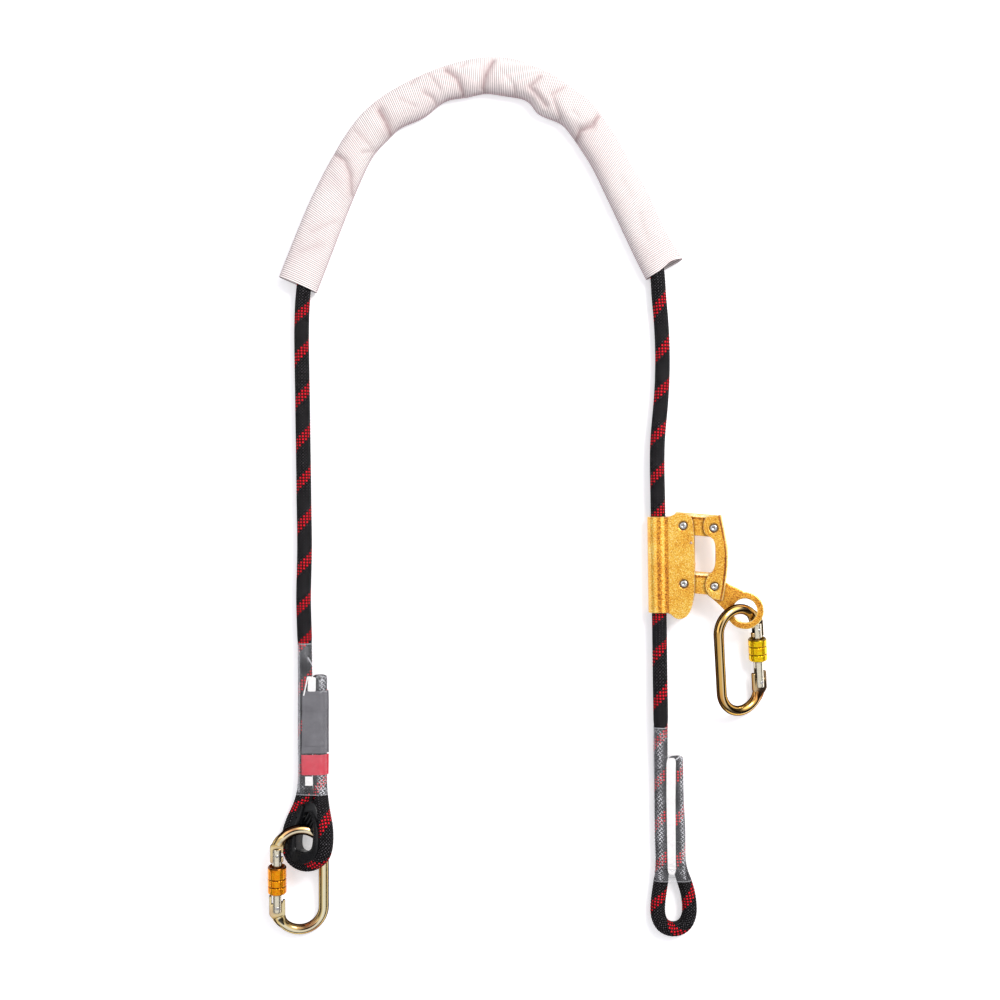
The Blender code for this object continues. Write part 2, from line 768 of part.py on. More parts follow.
def outer_pivot(upper):
    """An outer pivot in the grab's frame, of the upper or the lower arm."""
    x, y = body_pivot(upper)
    return (
        x + ARM_LENGTH * math.cos(ARM_ANGLE),
        y + ARM_LENGTH * math.sin(ARM_ANGLE),
    )


def body_pivot(upper):
    return (PIVOT_ACROSS, PIVOT_SPACING / 2 if upper else -PIVOT_SPACING / 2)


ARM_HALF = PLATE_HALF + GAP + ARM_WALL  # half of an arm's thickness
FLANGE_INSIDE = ARM_HALF + GAP
FLANGE_OUTSIDE = FLANGE_INSIDE + SHELL_WALL
HANDLE_OUTSIDE = FLANGE_INSIDE + HANDLE_WALL


def cut_rivet_seats(thing, places, half_thickness):
    """A pivot hole right through, and a recess for the rivet's head on each side."""
    for place in places:
        hole = drum_mesh(
            "hole", RIVET_SHANK + RUNNING, half_thickness + OVERRUN, middle=(*place, 0)
        )
        apply_boolean(thing, hole)
        for side in (-1, 1):
            reach = (RIVET_RECESS_DEPTH + OVERRUN) / 2
            height = side * (half_thickness - RIVET_RECESS_DEPTH + reach)
            seat = drum_mesh("seat", RIVET_RECESS, reach, middle=(*place, height))
            apply_boolean(thing, seat)


def build_rivet(name, parent, place, half_thickness):
    """A shank with a flat head at each end, seated in the recesses."""
    floor = half_thickness - RIVET_RECESS_DEPTH + GAP / 3
    top = half_thickness + RIVET_PROUD
    dome = RIVET_HEAD - RIVET_PROUD
    profile = [
        (0, top),
        (dome, top),
        (RIVET_HEAD, half_thickness),
        (RIVET_HEAD, floor),
        (RIVET_SHANK, floor),
        (RIVET_SHANK, -floor),
        (RIVET_HEAD, -floor),
        (RIVET_HEAD, -half_thickness),
        (dome, -top),
        (0, -top),
    ]
    turned(name, profile, RIVET_STEEL, parent, (*place, 0))


def build_grab_shell(grab):
    """The channel round the rope and its two flanges, bent from one plate."""
    outside = CHANNEL_BORE + SHELL_WALL
    lean = math.asin(FLANGE_OUTSIDE / outside)
    inner_lean = math.asin(FLANGE_INSIDE / CHANNEL_BORE)
    reach = FLANGE_REACH + OVERRUN
    section = [(reach, FLANGE_OUTSIDE)]
    section += arc((0, 0), outside, lean, 2 * math.pi - lean, 18)
    section += [(reach, -FLANGE_OUTSIDE), (reach, -FLANGE_INSIDE)]
    section += arc((0, 0), CHANNEL_BORE, 2 * math.pi - inner_lean, inner_lean, 18)
    section += [(reach, FLANGE_INSIDE)]
    half = (SHELL_TOP - SHELL_BOTTOM) / 2 + OVERRUN * 3
    mesh = prism_mesh("grab_shell", [section], half)
    lift = Matrix.Translation((0, (SHELL_TOP + SHELL_BOTTOM) / 2, 0))
    mesh.transform(lift @ Matrix.Rotation(math.pi / 2, 4, "X"))
    shell = new_object("grab_shell", mesh, GOLD_STEEL, grab)
    left = -outside - OVERRUN
    right = FLANGE_REACH
    step = CHANNEL_BORE + GAP * 4
    crown = SHELL_TOP + FLANGE_CROWN
    toe = SHELL_BOTTOM - FLANGE_TOE
    outline = rounded(
        [
            (left, SHELL_TOP, 0),
            (step, SHELL_TOP, 0),
            ((step + right) / 2, crown, PIVOT_ACROSS),
            (right, SHELL_TOP, RIVET_HEAD),
            (right, SHELL_BOTTOM + FLANGE_TAPER, PIVOT_ACROSS),
            (right - FLANGE_TOE_IN, toe + RIVET_HEAD / 2, RIVET_HEAD),
            (PIVOT_ACROSS - RIVET_HEAD, toe, RIVET_HEAD),
            (step, SHELL_BOTTOM, 0),
            (left, SHELL_BOTTOM, 0),
        ]
    )
    apply_boolean(shell, prism_mesh("outline", [outline], outside + OVERRUN), "INTERSECT")
    cut_rivet_seats(shell, [body_pivot(True), body_pivot(False)], FLANGE_OUTSIDE)
    spy = drum_mesh("spy", SPY_HOLE_RADIUS, outside, middle=(*SPY_HOLE_PLACE, 0), steps=12)
    apply_boolean(shell, spy)
    for upper, word in ((True, "upper"), (False, "lower")):
        build_rivet(f"{word}_body_rivet", grab, body_pivot(upper), FLANGE_OUTSIDE)


def build_arm(name, pivot):
    """A U-section link, its web above and its plate slot open below. The pivot's frame has
    x along the grab's own x, so the arm is turned in its outline."""
    back = -ARM_HEEL
    front = ARM_LENGTH + ARM_TOE
    taper = ARM_LENGTH - ARM_HEEL
    corners = [
        (back, -ARM_UNDER, ARM_HEEL),
        (taper, -ARM_UNDER, ARM_TOE),
        (front, -ARM_TOE, ARM_TOE),
        (front, ARM_TOE, ARM_TOE),
        (taper, ARM_OVER, ARM_TOE),
        (back, ARM_OVER, ARM_HEEL / 2),
    ]
    mesh = prism_mesh(name, [rounded(corners)], ARM_HALF)
    mesh.transform(Matrix.Rotation(ARM_ANGLE, 4, "Z"))
    arm = new_object(name, mesh, GOLD_STEEL, pivot)
    low = (back - OVERRUN, -ARM_UNDER - OVERRUN, -PLATE_HALF - GAP)
    high = (front + OVERRUN, ARM_OVER - ARM_WALL, PLATE_HALF + GAP)
    slot = box_mesh("slot", low, high)
    slot.transform(Matrix.Rotation(ARM_ANGLE, 4, "Z"))
    apply_boolean(arm, slot)
    outer = (ARM_LENGTH * math.cos(ARM_ANGLE), ARM_LENGTH * math.sin(ARM_ANGLE))
    for place in ((0, 0), outer):
        hole = drum_mesh("hole", RIVET_SHANK + RUNNING, ARM_HALF + OVERRUN, middle=(*place, 0))
        apply_boolean(arm, hole)
    return arm


def cam_outline():
    """The jaw's outline about its pivot: a flat face towards the rope, below the pivot."""
    face = -(PIVOT_ACROSS - ROPE_DIAMETER / 2 - CAM_GAP)
    corner = GAP * 3
    return rounded(
        [
            (face, 0, corner),
            (face, -CAM_REACH, corner),
            (face + CAM_NOSE, -CAM_REACH, corner),
            (face + CAM_NOSE, CAM_EYE / 2, corner),
            (face * 0.93, CAM_EYE / 3, corner),
        ]
    )


def cam_plate_start():
    """How far across, from the pivot, the thin plate starts inside the jaw's nose."""
    face = -(PIVOT_ACROSS - ROPE_DIAMETER / 2 - CAM_GAP)
    return face + CAM_NOSE / 2


def build_upper_cam(pivot):
    start = cam_plate_start()
    corners = [
        (start, -CAM_EYE * 0.8, GAP),
        (CAM_EYE, -CAM_EYE, CAM_EYE),
        (CAM_EYE, CAM_EYE, CAM_EYE),
        (start, CAM_EYE / 3, GAP),
    ]
    hole = circle((0, 0), RIVET_SHANK + RUNNING)
    mesh = prism_mesh("upper_cam", [rounded(corners, 6), hole], PLATE_HALF)
    cam = new_object("upper_cam", mesh, DARK_STEEL, pivot)
    apply_boolean(cam, prism_mesh("nose", [cam_outline()], ARM_HALF), "UNION")


def build_cam_lever(pivot):
    """The lower jaw, the plate inside the lower arm and the ring beyond the handle."""
    base = Vector(body_pivot(False))
    ring = Vector(RING_PLACE) - base
    pin = Vector(outer_pivot(False)) - base
    start = cam_plate_start()
    neck = RING_OUTER * 0.93
    corners = [
        (start, -CAM_EYE * 0.8, GAP),
        (LEVER_ROOT * 0.4, -CAM_EYE, CAM_EYE),
        (LEVER_ROOT, -CAM_EYE * 1.45, CAM_EYE),
        (ring.x - RING_OUTER * 1.15, ring.y + RING_OUTER * 0.10, CAM_EYE),
        (ring.x - RING_OUTER * 0.9, ring.y - RING_OUTER * 0.4, GAP),
        (ring.x + RING_OUTER * 0.5, ring.y + RING_OUTER * 0.3, GAP),
        (ring.x + RING_OUTER * 0.42, ring.y + neck, CAM_EYE),
        (pin.x + RIVET_HEAD * 3, pin.y + CAM_EYE * 0.30, CAM_EYE),
        (pin.x, pin.y + CAM_EYE * 0.68, CAM_EYE),
        (0, CAM_EYE, CAM_EYE),
        (start, CAM_EYE / 3, GAP),
    ]
    mesh = prism_mesh("cam_lever", [rounded(corners)], PLATE_HALF)
    lever = new_object("cam_lever", mesh, GOLD_STEEL, pivot)
    apply_boolean(lever, prism_mesh("nose", [cam_outline()], ARM_HALF), "UNION")
    disc = drum_mesh("disc", RING_OUTER, PLATE_HALF, middle=(*ring, 0), steps=36)
    apply_boolean(lever, disc, "UNION")
    bore = drum_mesh("bore", RING_HOLE, PLATE_HALF + OVERRUN, middle=(*ring, 0), steps=30)
    apply_boolean(lever, bore)
    for place in ((0, 0), tuple(pin)):
        hole = drum_mesh("hole", RIVET_SHANK + RUNNING, PLATE_HALF + OVERRUN, middle=(*place, 0))
        apply_boolean(lever, hole)


def build_handle(pivot):
    """The U-section link between the outer pivots, its back bulged, its waist cut in. The
    pivot's origin is the lower outer pivot."""
    rise = PIVOT_SPACING
    top = rise + HANDLE_TOP
    ear = -HANDLE_EAR

    def back_line(inset):
        return [
            (HANDLE_BACK - inset, top, RIVET_HEAD),
            (HANDLE_BULGE - inset, rise / 2, PIVOT_SPACING),
            (HANDLE_BULGE - inset, RIVET_HEAD * 2, PIVOT_SPACING),
            (HANDLE_BACK - inset, -HANDLE_BOTTOM, RIVET_HEAD / 2),
        ]

    corners = (
        [(ear, top, RIVET_HEAD * 1.2)]
        + back_line(0)
        + [
            (ear + RIVET_HEAD, -HANDLE_BOTTOM, RIVET_HEAD),
            (ear, -RIVET_HEAD, RIVET_HEAD),
            (ear, WAIST_MARGIN - RIVET_HEAD, RIVET_HEAD),
            (HANDLE_WAIST, WAIST_MARGIN, RIVET_HEAD),
            (HANDLE_WAIST, rise - WAIST_MARGIN, RIVET_HEAD),
            (ear, rise - WAIST_MARGIN + RIVET_HEAD, RIVET_HEAD),
        ]
    )
    mesh = prism_mesh("handle", [rounded(corners)], HANDLE_OUTSIDE)
    handle = new_object("handle", mesh, GOLD_STEEL, pivot)
    far = top + OVERRUN
    inside = back_line(HANDLE_WALL)
    hollow = (
        [(ear - OVERRUN, far, 0), (HANDLE_BACK - HANDLE_WALL, far, 0)]
        + [inside[1]]
        + [
            (HANDLE_BULGE - HANDLE_WALL, WEB_END, 0),
            (HANDLE_BULGE + OVERRUN, WEB_END, 0),
            (HANDLE_BULGE + OVERRUN, -HANDLE_BOTTOM - OVERRUN, 0),
            (ear - OVERRUN, -HANDLE_BOTTOM - OVERRUN, 0),
        ]
    )
    apply_boolean(handle, prism_mesh("hollow", [rounded(hollow)], FLANGE_INSIDE))
    cut_rivet_seats(handle, [(0, 0), (0, rise)], HANDLE_OUTSIDE)


def build_grab():
    x, y, z = GRAB_RUN_TOP
    place = (x + GRAB_DOWN * GRAB_RUN_SLOPE, y - GRAB_DOWN, z)
    grab = new_pivot("grab_frame", None, place)
    grab.rotation_mode = "QUATERNION"
    turn = Matrix.Rotation(math.atan(GRAB_RUN_SLOPE), 4, "Z") @ Matrix.Rotation(
        -GRAB_ROLL, 4, "Y"
    )
    grab.rotation_quaternion = turn.to_quaternion()
    build_grab_shell(grab)
    upper = new_pivot("upper_arm_pivot", grab, (*body_pivot(True), 0))
    lower = new_pivot("lower_arm_pivot", grab, (*body_pivot(False), 0))
    build_arm("upper_arm", upper)
    build_upper_cam(upper)
    build_arm("lower_arm", lower)
    build_cam_lever(lower)
    shift = Vector(outer_pivot(False)) - Vector(body_pivot(False))
    back = new_pivot("handle_pivot", lower, (*shift, 0))
    build_handle(back)
    build_rivet("lower_handle_rivet", back, (0, 0), HANDLE_OUTSIDE)
    build_rivet("upper_handle_rivet", back, (0, PIVOT_SPACING), HANDLE_OUTSIDE)


def loop_line():
    """The rod's middle line with its gate side at +x, from the hinge end to the latch end."""
    radius = LOOP_WIDTH / 2
    straight = (LOOP_LENGTH - LOOP_WIDTH) / 2
    start = math.asin(ROD_END_RISE / radius)
    bottom = arc((0, -straight), radius, -start, -math.pi, 12)
    top = arc((0, straight), radius, math.pi, start, 12)
    return bottom + top


def tongue_outline(link):
    """The flattened hinge end about its pin: two shoulders, and a cam edge between them."""
    half = TONGUE_HALF
    inside = SHOULDER_INSIDE
    chamfer = GAP * 2
    cam = []
    for degrees in (-24, 0, 11, 21, 31):
        grown = min(max((degrees - 11) / 20, 0), 1)
        reach = TONGUE_CROWN + CAM_RISE * grown
        angle = math.radians(degrees)
        cam.append((-reach * math.sin(angle), reach * math.cos(angle), 0))
    outline = [
        (half, -TONGUE_ROOT * 0.8, TONGUE_ROOT / 5),
        (half, link["outer_shoulder"], chamfer),
        (inside, link["outer_shoulder"], chamfer),
        (inside, TONGUE_CROWN / 2, chamfer),
        *cam,
        (-inside, TONGUE_CROWN, 0),
        (-inside, link["inner_shoulder"], chamfer),
        (-half, link["inner_shoulder"], chamfer),
        (-half, -TONGUE_ROOT * 0.8, TONGUE_ROOT / 5),
        (-ROD_DIAMETER * 0.4, -TONGUE_TAIL, 0),
        (ROD_DIAMETER * 0.2, -TONGUE_TAIL, 0),
    ]
    return rounded(outline, 3)


def nose_outline():
    """The flattened latch end about the latch pin: a hook whose slot opens inwards."""
    chamfer = GAP * 2
    return rounded(
        [
            (ROD_DIAMETER * 0.2, TONGUE_TAIL, 0),
            (NOSE_OUT, TONGUE_ROOT * 0.85, TONGUE_ROOT / 5),
            (NOSE_OUT, -NOSE_TIP, chamfer * 3),
            (-NOSE_IN, -NOSE_TIP, chamfer * 3),
            (-NOSE_IN, -NOSE_SLOT_DOWN, chamfer),
            (NOSE_SLOT_END, -NOSE_SLOT_DOWN, NOSE_SLOT_UP),
            (NOSE_SLOT_END, NOSE_SLOT_UP, NOSE_SLOT_UP),
            (-NOSE_IN, NOSE_SLOT_UP, chamfer),
            (-NOSE_IN, TONGUE_ROOT * 0.85, TONGUE_ROOT / 5),
            (-ROD_DIAMETER * 0.4, TONGUE_TAIL, 0),
        ],
        3,
    )


def build_loop(word, link, frame):
    """The forged frame: a round rod bent to an oval, flattened at both ends."""
    side = link["side"]
    line = [(side * x, y, 0) for x, y in loop_line()]
    mesh = tube_mesh(f"{word}_loop", line, ROD_DIAMETER / 2, 12)
    loop = new_object(f"{word}_loop", mesh, CONNECTOR_STEEL, frame)
    hinge = (side * LOOP_WIDTH / 2, -PIVOT_TO_LATCH / 2)
    latch = (side * LOOP_WIDTH / 2, PIVOT_TO_LATCH / 2)
    bored = circle((0, 0), HINGE_PIN_RADIUS + RUNNING, 16)
    for place, outlines in ((hinge, [tongue_outline(link), bored]), (latch, [nose_outline()])):
        moved = [[(place[0] + side * x, place[1] + y) for x, y in line] for line in outlines]
        plate = prism_mesh("plate", moved, TONGUE_THICKNESS / 2)
        apply_boolean(loop, plate, "UNION")


def build_gate(word, gate):
    """The slotted gate tube about its hinge, and the pins, plunger and spring in it."""
    low = -GATE_TAIL
    high = PIVOT_TO_LATCH + GATE_HEAD
    half = (high - low) / 2
    middle = (0, (high + low) / 2, 0)
    mesh = drum_mesh(f"{word}_gate_tube", GATE_DIAMETER / 2, half, "Y", middle)
    tube = new_object(f"{word}_gate_tube", mesh, CONNECTOR_STEEL, gate)
    wide = GATE_DIAMETER
    thin = TONGUE_SLOT / 2
    hinge_slot = box_mesh("slot", (-wide, low - OVERRUN, -thin), (wide, HINGE_SLOT, thin))
    apply_boolean(tube, hinge_slot)
    slot_foot = PIVOT_TO_LATCH - LATCH_SLOT
    latch_slot = box_mesh("slot", (-wide, slot_foot, -thin), (wide, high + OVERRUN, thin))
    apply_boolean(tube, latch_slot)
    bore_foot = HINGE_SLOT - OVERRUN / 2
    bore_half = (GATE_BORE_TOP - bore_foot) / 2
    bore_middle = (0, (GATE_BORE_TOP + bore_foot) / 2, 0)
    bore = drum_mesh("bore", GATE_BORE / 2, bore_half, "Y", bore_middle, 16)
    apply_boolean(tube, bore)
    reach = GATE_DIAMETER / 2 + PIN_PROUD
    for place, radius in ((0, HINGE_PIN_RADIUS), (PIVOT_TO_LATCH, LATCH_PIN_RADIUS)):
        hole = drum_mesh("hole", radius + RUNNING, reach + OVERRUN, middle=(0, place, 0), steps=16)
        apply_boolean(tube, hole)
    latch_pin = drum_mesh(f"{word}_latch_pin", LATCH_PIN_RADIUS, reach, steps=16)
    new_object(f"{word}_latch_pin", latch_pin, RIVET_STEEL, gate, (0, PIVOT_TO_LATCH, 0))
    tip = TONGUE_CROWN + GAP
    neck = tip + PLUNGER_TIP_LENGTH
    crown = neck + PLUNGER_HEAD_LENGTH
    profile = [
        (0, neck - tip + PLUNGER_HEAD_LENGTH),
        (PLUNGER_HEAD_RADIUS, crown - tip),
        (PLUNGER_HEAD_RADIUS, neck - tip),
        (PLUNGER_TIP_RADIUS, neck - tip),
        (PLUNGER_TIP_RADIUS, 0),
        (0, 0),
    ]
    upright = (-math.pi / 2, 0, 0)
    turned(f"{word}_gate_plunger", profile, RIVET_STEEL, gate, (0, tip, 0), upright, 16)
    foot = crown + PLUNGER_TRAVEL + GAP + SPRING_WIRE / 2
    length = GATE_BORE_TOP - GAP - SPRING_WIRE / 2 - foot
    count = SPRING_TURNS * SPRING_STEPS
    coil = []
    for k in range(count + 1):
        angle = 2 * math.pi * k / SPRING_STEPS
        coil.append(
            (SPRING_RADIUS * math.cos(angle), foot + length * k / count, SPRING_RADIUS * math.sin(angle))
        )
    spring = tube_mesh(f"{word}_gate_spring", coil, SPRING_WIRE / 2, 6)
    new_object(f"{word}_gate_spring", spring, RIVET_STEEL, gate)


def build_lock(word, link, gate):
    """The screw sleeve on the gate tube, its skirt towards the latch."""
    top = PIVOT_TO_LATCH - link["lock_below_latch"]
    length = min(link["lock_length"], top - link["outer_shoulder"])
    foot = top - length
    floor = length - LOCK_SKIRT_DEPTH
    profile = [
        (LOCK_SKIRT_BORE, length),
        (LOCK_RADIUS - LOCK_CHAMFER, length),
        (LOCK_RADIUS, length - LOCK_CHAMFER),
    ]
    for share in sorted(link["grooves"]):
        middle = length * (1 - share)
        half = LOCK_GROOVE_WIDTH / 2
        deep = LOCK_RADIUS - LOCK_GROOVE_DEPTH
        profile += [(LOCK_RADIUS, middle + half), (deep, middle + half / 2)]
        profile += [(deep, middle - half / 2), (LOCK_RADIUS, middle - half)]
    profile += [
        (LOCK_RADIUS, LOCK_CHAMFER),
        (LOCK_RADIUS - LOCK_CHAMFER, 0),
        (LOCK_THREAD_BORE, 0),
        (LOCK_THREAD_BORE, floor),
        (LOCK_SKIRT_BORE, floor),
    ]
    finish = new_material(f"{word}_anodised", link["lock_colour"], 0.3, 0.9)
    turned(f"{word}_lock_sleeve", profile, finish, gate, (0, foot, 0), (-math.pi / 2, 0, 0))


def build_connector(word, link):
    side = link["side"]
    angles = [math.radians(angle) for angle in link["turn"]]
    frame = new_pivot(f"{word}_connector_frame", None, link["place"], angles)
    build_loop(word, link, frame)
    hinge = (side * LOOP_WIDTH / 2, -PIVOT_TO_LATCH / 2, 0)
    gate = new_pivot(f"{word}_gate_pivot", frame, hinge)
    build_gate(word, gate)
    build_lock(word, link, gate)
    reach = GATE_DIAMETER / 2 + PIN_PROUD
    pin = drum_mesh(f"{word}_hinge_pin", HINGE_PIN_RADIUS, reach, steps=16)
    new_object(f"{word}_hinge_pin", pin, RIVET_STEEL, frame, hinge)


empty_scene()
PARTS = new_collection("tree_climbing_lanyard")
TOOLS = new_collection("cutters")
BLACK_ROPE = new_material("black_rope", (0.018, 0.017, 0.018), 0.85)
BLACK_THREAD = new_material("black_thread", (0.03, 0.03, 0.03), 0.7)
BLACK_PLASTIC = new_material("black_plastic", (0.02, 0.02, 0.021), 0.45)
WEBBING = new_material("webbing", (0.74, 0.72, 0.70), 0.9)
CLEAR_FILM = new_material("clear_film", (0.10, 0.10, 0.10), 0.12)
GREY_LABEL = new_material("grey_label", (0.35, 0.35, 0.36), 0.4)
WHITE_LABEL = new_material("white_label", (0.85, 0.85, 0.84), 0.5)
GOLD_STEEL = new_material("gold_zinc", (0.62, 0.47, 0.20), 0.38, 0.9)
DARK_STEEL = new_material("dark_steel", (0.35, 0.33, 0.30), 0.4, 0.9)
RIVET_STEEL = new_material("rivet_steel", (0.66, 0.65, 0.63), 0.3, 1.0)
CONNECTOR_STEEL = new_material("connector_zinc", (0.60, 0.55, 0.42), 0.3, 1.0)

rope_line = build_rope()
build_protective_sleeve()
left_main = LEFT_LEG_ROUTE[0][0]
left_tail = LEFT_TAIL_ROUTE[0][0]
right_main = RIGHT_END_ROUTE[2][0]
right_tail = RIGHT_END_ROUTE[-1][0]
left_tail_end = LEFT_TAIL_ROUTE[0][1]
right_tail_end = RIGHT_END_ROUTE[-1][1]
build_film(
    "left_shrink_film", rope_line, LEFT_FILM_TOP, LEFT_FILM_BOTTOM, left_tail_end, left_main, left_tail
)
build_film(
    "right_shrink_film",
    rope_line,
    RIGHT_FILM_TOP,
    RIGHT_FILM_BOTTOM,
    right_tail_end,
    right_main,
    right_tail,
)
build_label(
    "left_label",
    rope_line,
    LEFT_LABEL_TOP,
    LEFT_LABEL_LENGTH,
    LEFT_LABEL_WIDTH,
    left_main,
    left_tail,
    GREY_LABEL,
)
build_label(
    "right_label",
    rope_line,
    RIGHT_LABEL_TOP,
    RIGHT_LABEL_LENGTH,
    RIGHT_LABEL_WIDTH,
    right_main,
    right_tail,
    WHITE_LABEL,
)
build_stitching("left_stitching", rope_line, LEFT_THREAD_SPAN, left_main, left_tail)
build_stitching("right_stitching", rope_line, RIGHT_THREAD_SPAN, right_main, right_tail)
build_thimble(rope_line)
build_grab()
build_connector("left", LEFT_LINK)
build_connector("right", RIGHT_LINK)
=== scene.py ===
"""Looks of a tree climbing lanyard that lies flat, seen from straight above.

Metres, +Z up. The floor is z = 0. Places that were read off the view are given in its
millimetres, x to the right and y down, and spot() turns them into the model's metres."""

import math

import bmesh
import bpy
import numpy as np
from mathutils import Matrix, Vector
from mathutils.geometry import tessellate_polygon


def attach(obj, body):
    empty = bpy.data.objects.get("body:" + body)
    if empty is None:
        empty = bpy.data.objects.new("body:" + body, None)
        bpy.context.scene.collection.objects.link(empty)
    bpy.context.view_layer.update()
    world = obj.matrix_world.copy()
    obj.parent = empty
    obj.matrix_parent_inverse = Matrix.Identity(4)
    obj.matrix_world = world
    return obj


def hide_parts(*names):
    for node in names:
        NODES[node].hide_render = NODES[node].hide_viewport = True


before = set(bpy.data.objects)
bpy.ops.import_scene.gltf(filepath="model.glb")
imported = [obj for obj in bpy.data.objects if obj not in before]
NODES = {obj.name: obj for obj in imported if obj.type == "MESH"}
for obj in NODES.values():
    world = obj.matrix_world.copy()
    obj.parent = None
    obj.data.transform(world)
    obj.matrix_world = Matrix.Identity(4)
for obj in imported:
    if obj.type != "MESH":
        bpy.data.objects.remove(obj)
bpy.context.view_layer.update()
SCENE = bpy.context.scene
MM = 0.001
WORLD = Matrix.Identity(4)
FLOOR_GAP = 0.0002

# The view: straight down, 1 mm of the model to 1 mm of the view at the rope's height
VIEW_CENTRE = (-0.018, -0.005)
VIEW_HEIGHT = 1.4
ROPE_MIDDLE = 0.0075
VIEW_WIDTH = 1.0
SENSOR = 36.0


def spot(x, y, z=ROPE_MIDDLE):
    """A place of the view, in its millimetres, at the height z of the model."""
    scale = MM * (VIEW_HEIGHT - z) / (VIEW_HEIGHT - ROPE_MIDDLE)
    return Vector((VIEW_CENTRE[0] + (x - 500) * scale, VIEW_CENTRE[1] - (y - 500) * scale, z))


def add_camera():
    lens = bpy.data.cameras.new("camera")
    lens.sensor_width = SENSOR
    lens.lens = SENSOR * (VIEW_HEIGHT - ROPE_MIDDLE) / VIEW_WIDTH
    lens.clip_end = 20
    camera = bpy.data.objects.new("camera", lens)
    camera.location = (*VIEW_CENTRE, VIEW_HEIGHT)
    SCENE.collection.objects.link(camera)
    SCENE.camera = camera


def add_light(name, place, target, size, watts, colour):
    lamp = bpy.data.lights.new(name, "AREA")
    lamp.shape = "SQUARE"
    lamp.size = size
    lamp.energy = watts
    lamp.color = colour
    thing = bpy.data.objects.new(name, lamp)
    thing.location = place
    aim = Vector(target) - Vector(place)
    thing.rotation_euler = aim.to_track_quat("-Z", "Y").to_euler()
    SCENE.collection.objects.link(thing)


# Materials

WHITE = (1, 1, 1)
# Painted shade where something stands close over a surface
PAINTED_SHADE = (0.1, 0.055, 0.03)
# Painted shade on flanks that turn away from above
FLANK = (0.09, 0.05, 0.035)
# Painted highlight on sharp edges, with the wear that handling leaves there
BRIGHT_EDGE = (1.0, 0.86, 0.6)
# Colours of the gold plate from its pits to its highlights
GOLD_STOPS = [
    (0.24, (0.14, 0.042, 0.01)), (0.38, (0.52, 0.15, 0.014)), (0.48, (0.84, 0.34, 0.03)),
    (0.57, (0.94, 0.53, 0.05)), (0.67, (0.97, 0.72, 0.17)), (0.8, (1.0, 0.88, 0.6)),
]
# Colours of the rods' passivation, between its two orange ends
ZINC_STOPS = [
    (0.3, (0.66, 0.34, 0.18)), (0.42, (0.92, 0.68, 0.34)), (0.52, (0.9, 0.74, 0.4)),
    (0.62, (0.96, 0.76, 0.46)), (0.72, (0.74, 0.42, 0.26)),
]
# The rods' painted reflections: their bright bands and their dark ones
ROD_BRIGHT = (1.0, 0.94, 0.7)
ROD_DARK = (0.045, 0.022, 0.015)
# Painted shade on the sides of the dyed sleeves
ANODISED_EDGE = (0.72, 0.5, 0.36)
GREY_INK, WHITE_INK, RED_INK = (0.108, 0.104, 0.118), (0.9, 0.88, 0.88), (0.6, 0.02, 0.048)
# The film's attributes: its braid's two counts, painted highlights along its folds,
# painted glints where it touches the braid, outer face
FILM_VALUES = ("weave_a", "weave_b", "fold_highlight", "touch_glint", "skin")


class Value:
    """What a node puts out. Sums and products of values make their own Math nodes."""

    def __init__(self, socket):
        self.socket, self.tree = socket, socket.id_data

    def __add__(self, other):
        return maths("ADD", self, other)

    def __sub__(self, other):
        return maths("SUBTRACT", self, other)

    def __rsub__(self, other):
        return maths("SUBTRACT", other, self)

    def __mul__(self, other):
        return maths("MULTIPLY", self, other)

    __radd__, __rmul__ = __add__, __mul__


def feed(node, sockets):
    """Gives a node's sockets their numbers, or links values to them."""
    for key, value in sockets.items():
        if isinstance(value, Value):
            value.tree.links.new(value.socket, node.inputs[key])
        else:
            node.inputs[key].default_value = value


def add(tree, kind, sockets=None, **settings):
    made = tree.nodes.new(kind)
    for key, value in settings.items():
        setattr(made, key, value)
    feed(made, sockets or {})
    return made


def output(tree, kind, sockets=None, key=0, **settings):
    """The value that a new node puts out."""
    return Value(add(tree, kind, sockets, **settings).outputs[key])


def tree_of(*values):
    return next(value.tree for value in values if isinstance(value, Value))


def maths(operation, first, second=0.0, clamp=False):
    settings = {"operation": operation, "use_clamp": clamp}
    return output(tree_of(first, second), "ShaderNodeMath", {0: first, 1: second}, **settings)


def nodes_of(name, colour=(0.8, 0.8, 0.8), roughness=0.5, metallic=0.0):
    """A new Principled material, its node tree and its shader."""
    finish = bpy.data.materials.new(name)
    finish.use_nodes = True
    shader = finish.node_tree.nodes["Principled BSDF"]
    feed(shader, {"Base Color": (*colour, 1), "Roughness": roughness, "Metallic": metallic})
    return finish, finish.node_tree, shader


def attribute(tree, name):
    return output(tree, "ShaderNodeAttribute", key="Fac", attribute_name=name)


def noise(tree, scale, detail=3.0, rough=0.55):
    """Noise in the object's own space."""
    place = output(tree, "ShaderNodeTexCoord", key="Object")
    sockets = {"Vector": place, "Scale": scale, "Detail": detail, "Roughness": rough}
    return output(tree, "ShaderNodeTexNoise", sockets, "Fac")


def split(value):
    """A vector's three values."""
    made = add(value.tree, "ShaderNodeSeparateXYZ", {0: value})
    return [Value(socket) for socket in made.outputs]


def ramp(value, stops):
    """Colours by value: each stop is a place and a colour."""
    made = add(value.tree, "ShaderNodeValToRGB", {"Fac": value})
    bar = made.color_ramp
    while len(bar.elements) < len(stops):
        bar.elements.new(0.5)
    for element, (place, colour) in zip(bar.elements, stops):
        element.position = place
        element.color = (*colour, 1)
    return Value(made.outputs["Color"])


def spread(value, low, high, first=0.0, last=1.0):
    """value taken from low..high to first..last."""
    sockets = {"Value": value, "From Min": low, "From Max": high, "To Min": first, "To Max": last}
    return output(value.tree, "ShaderNodeMapRange", sockets, "Result")


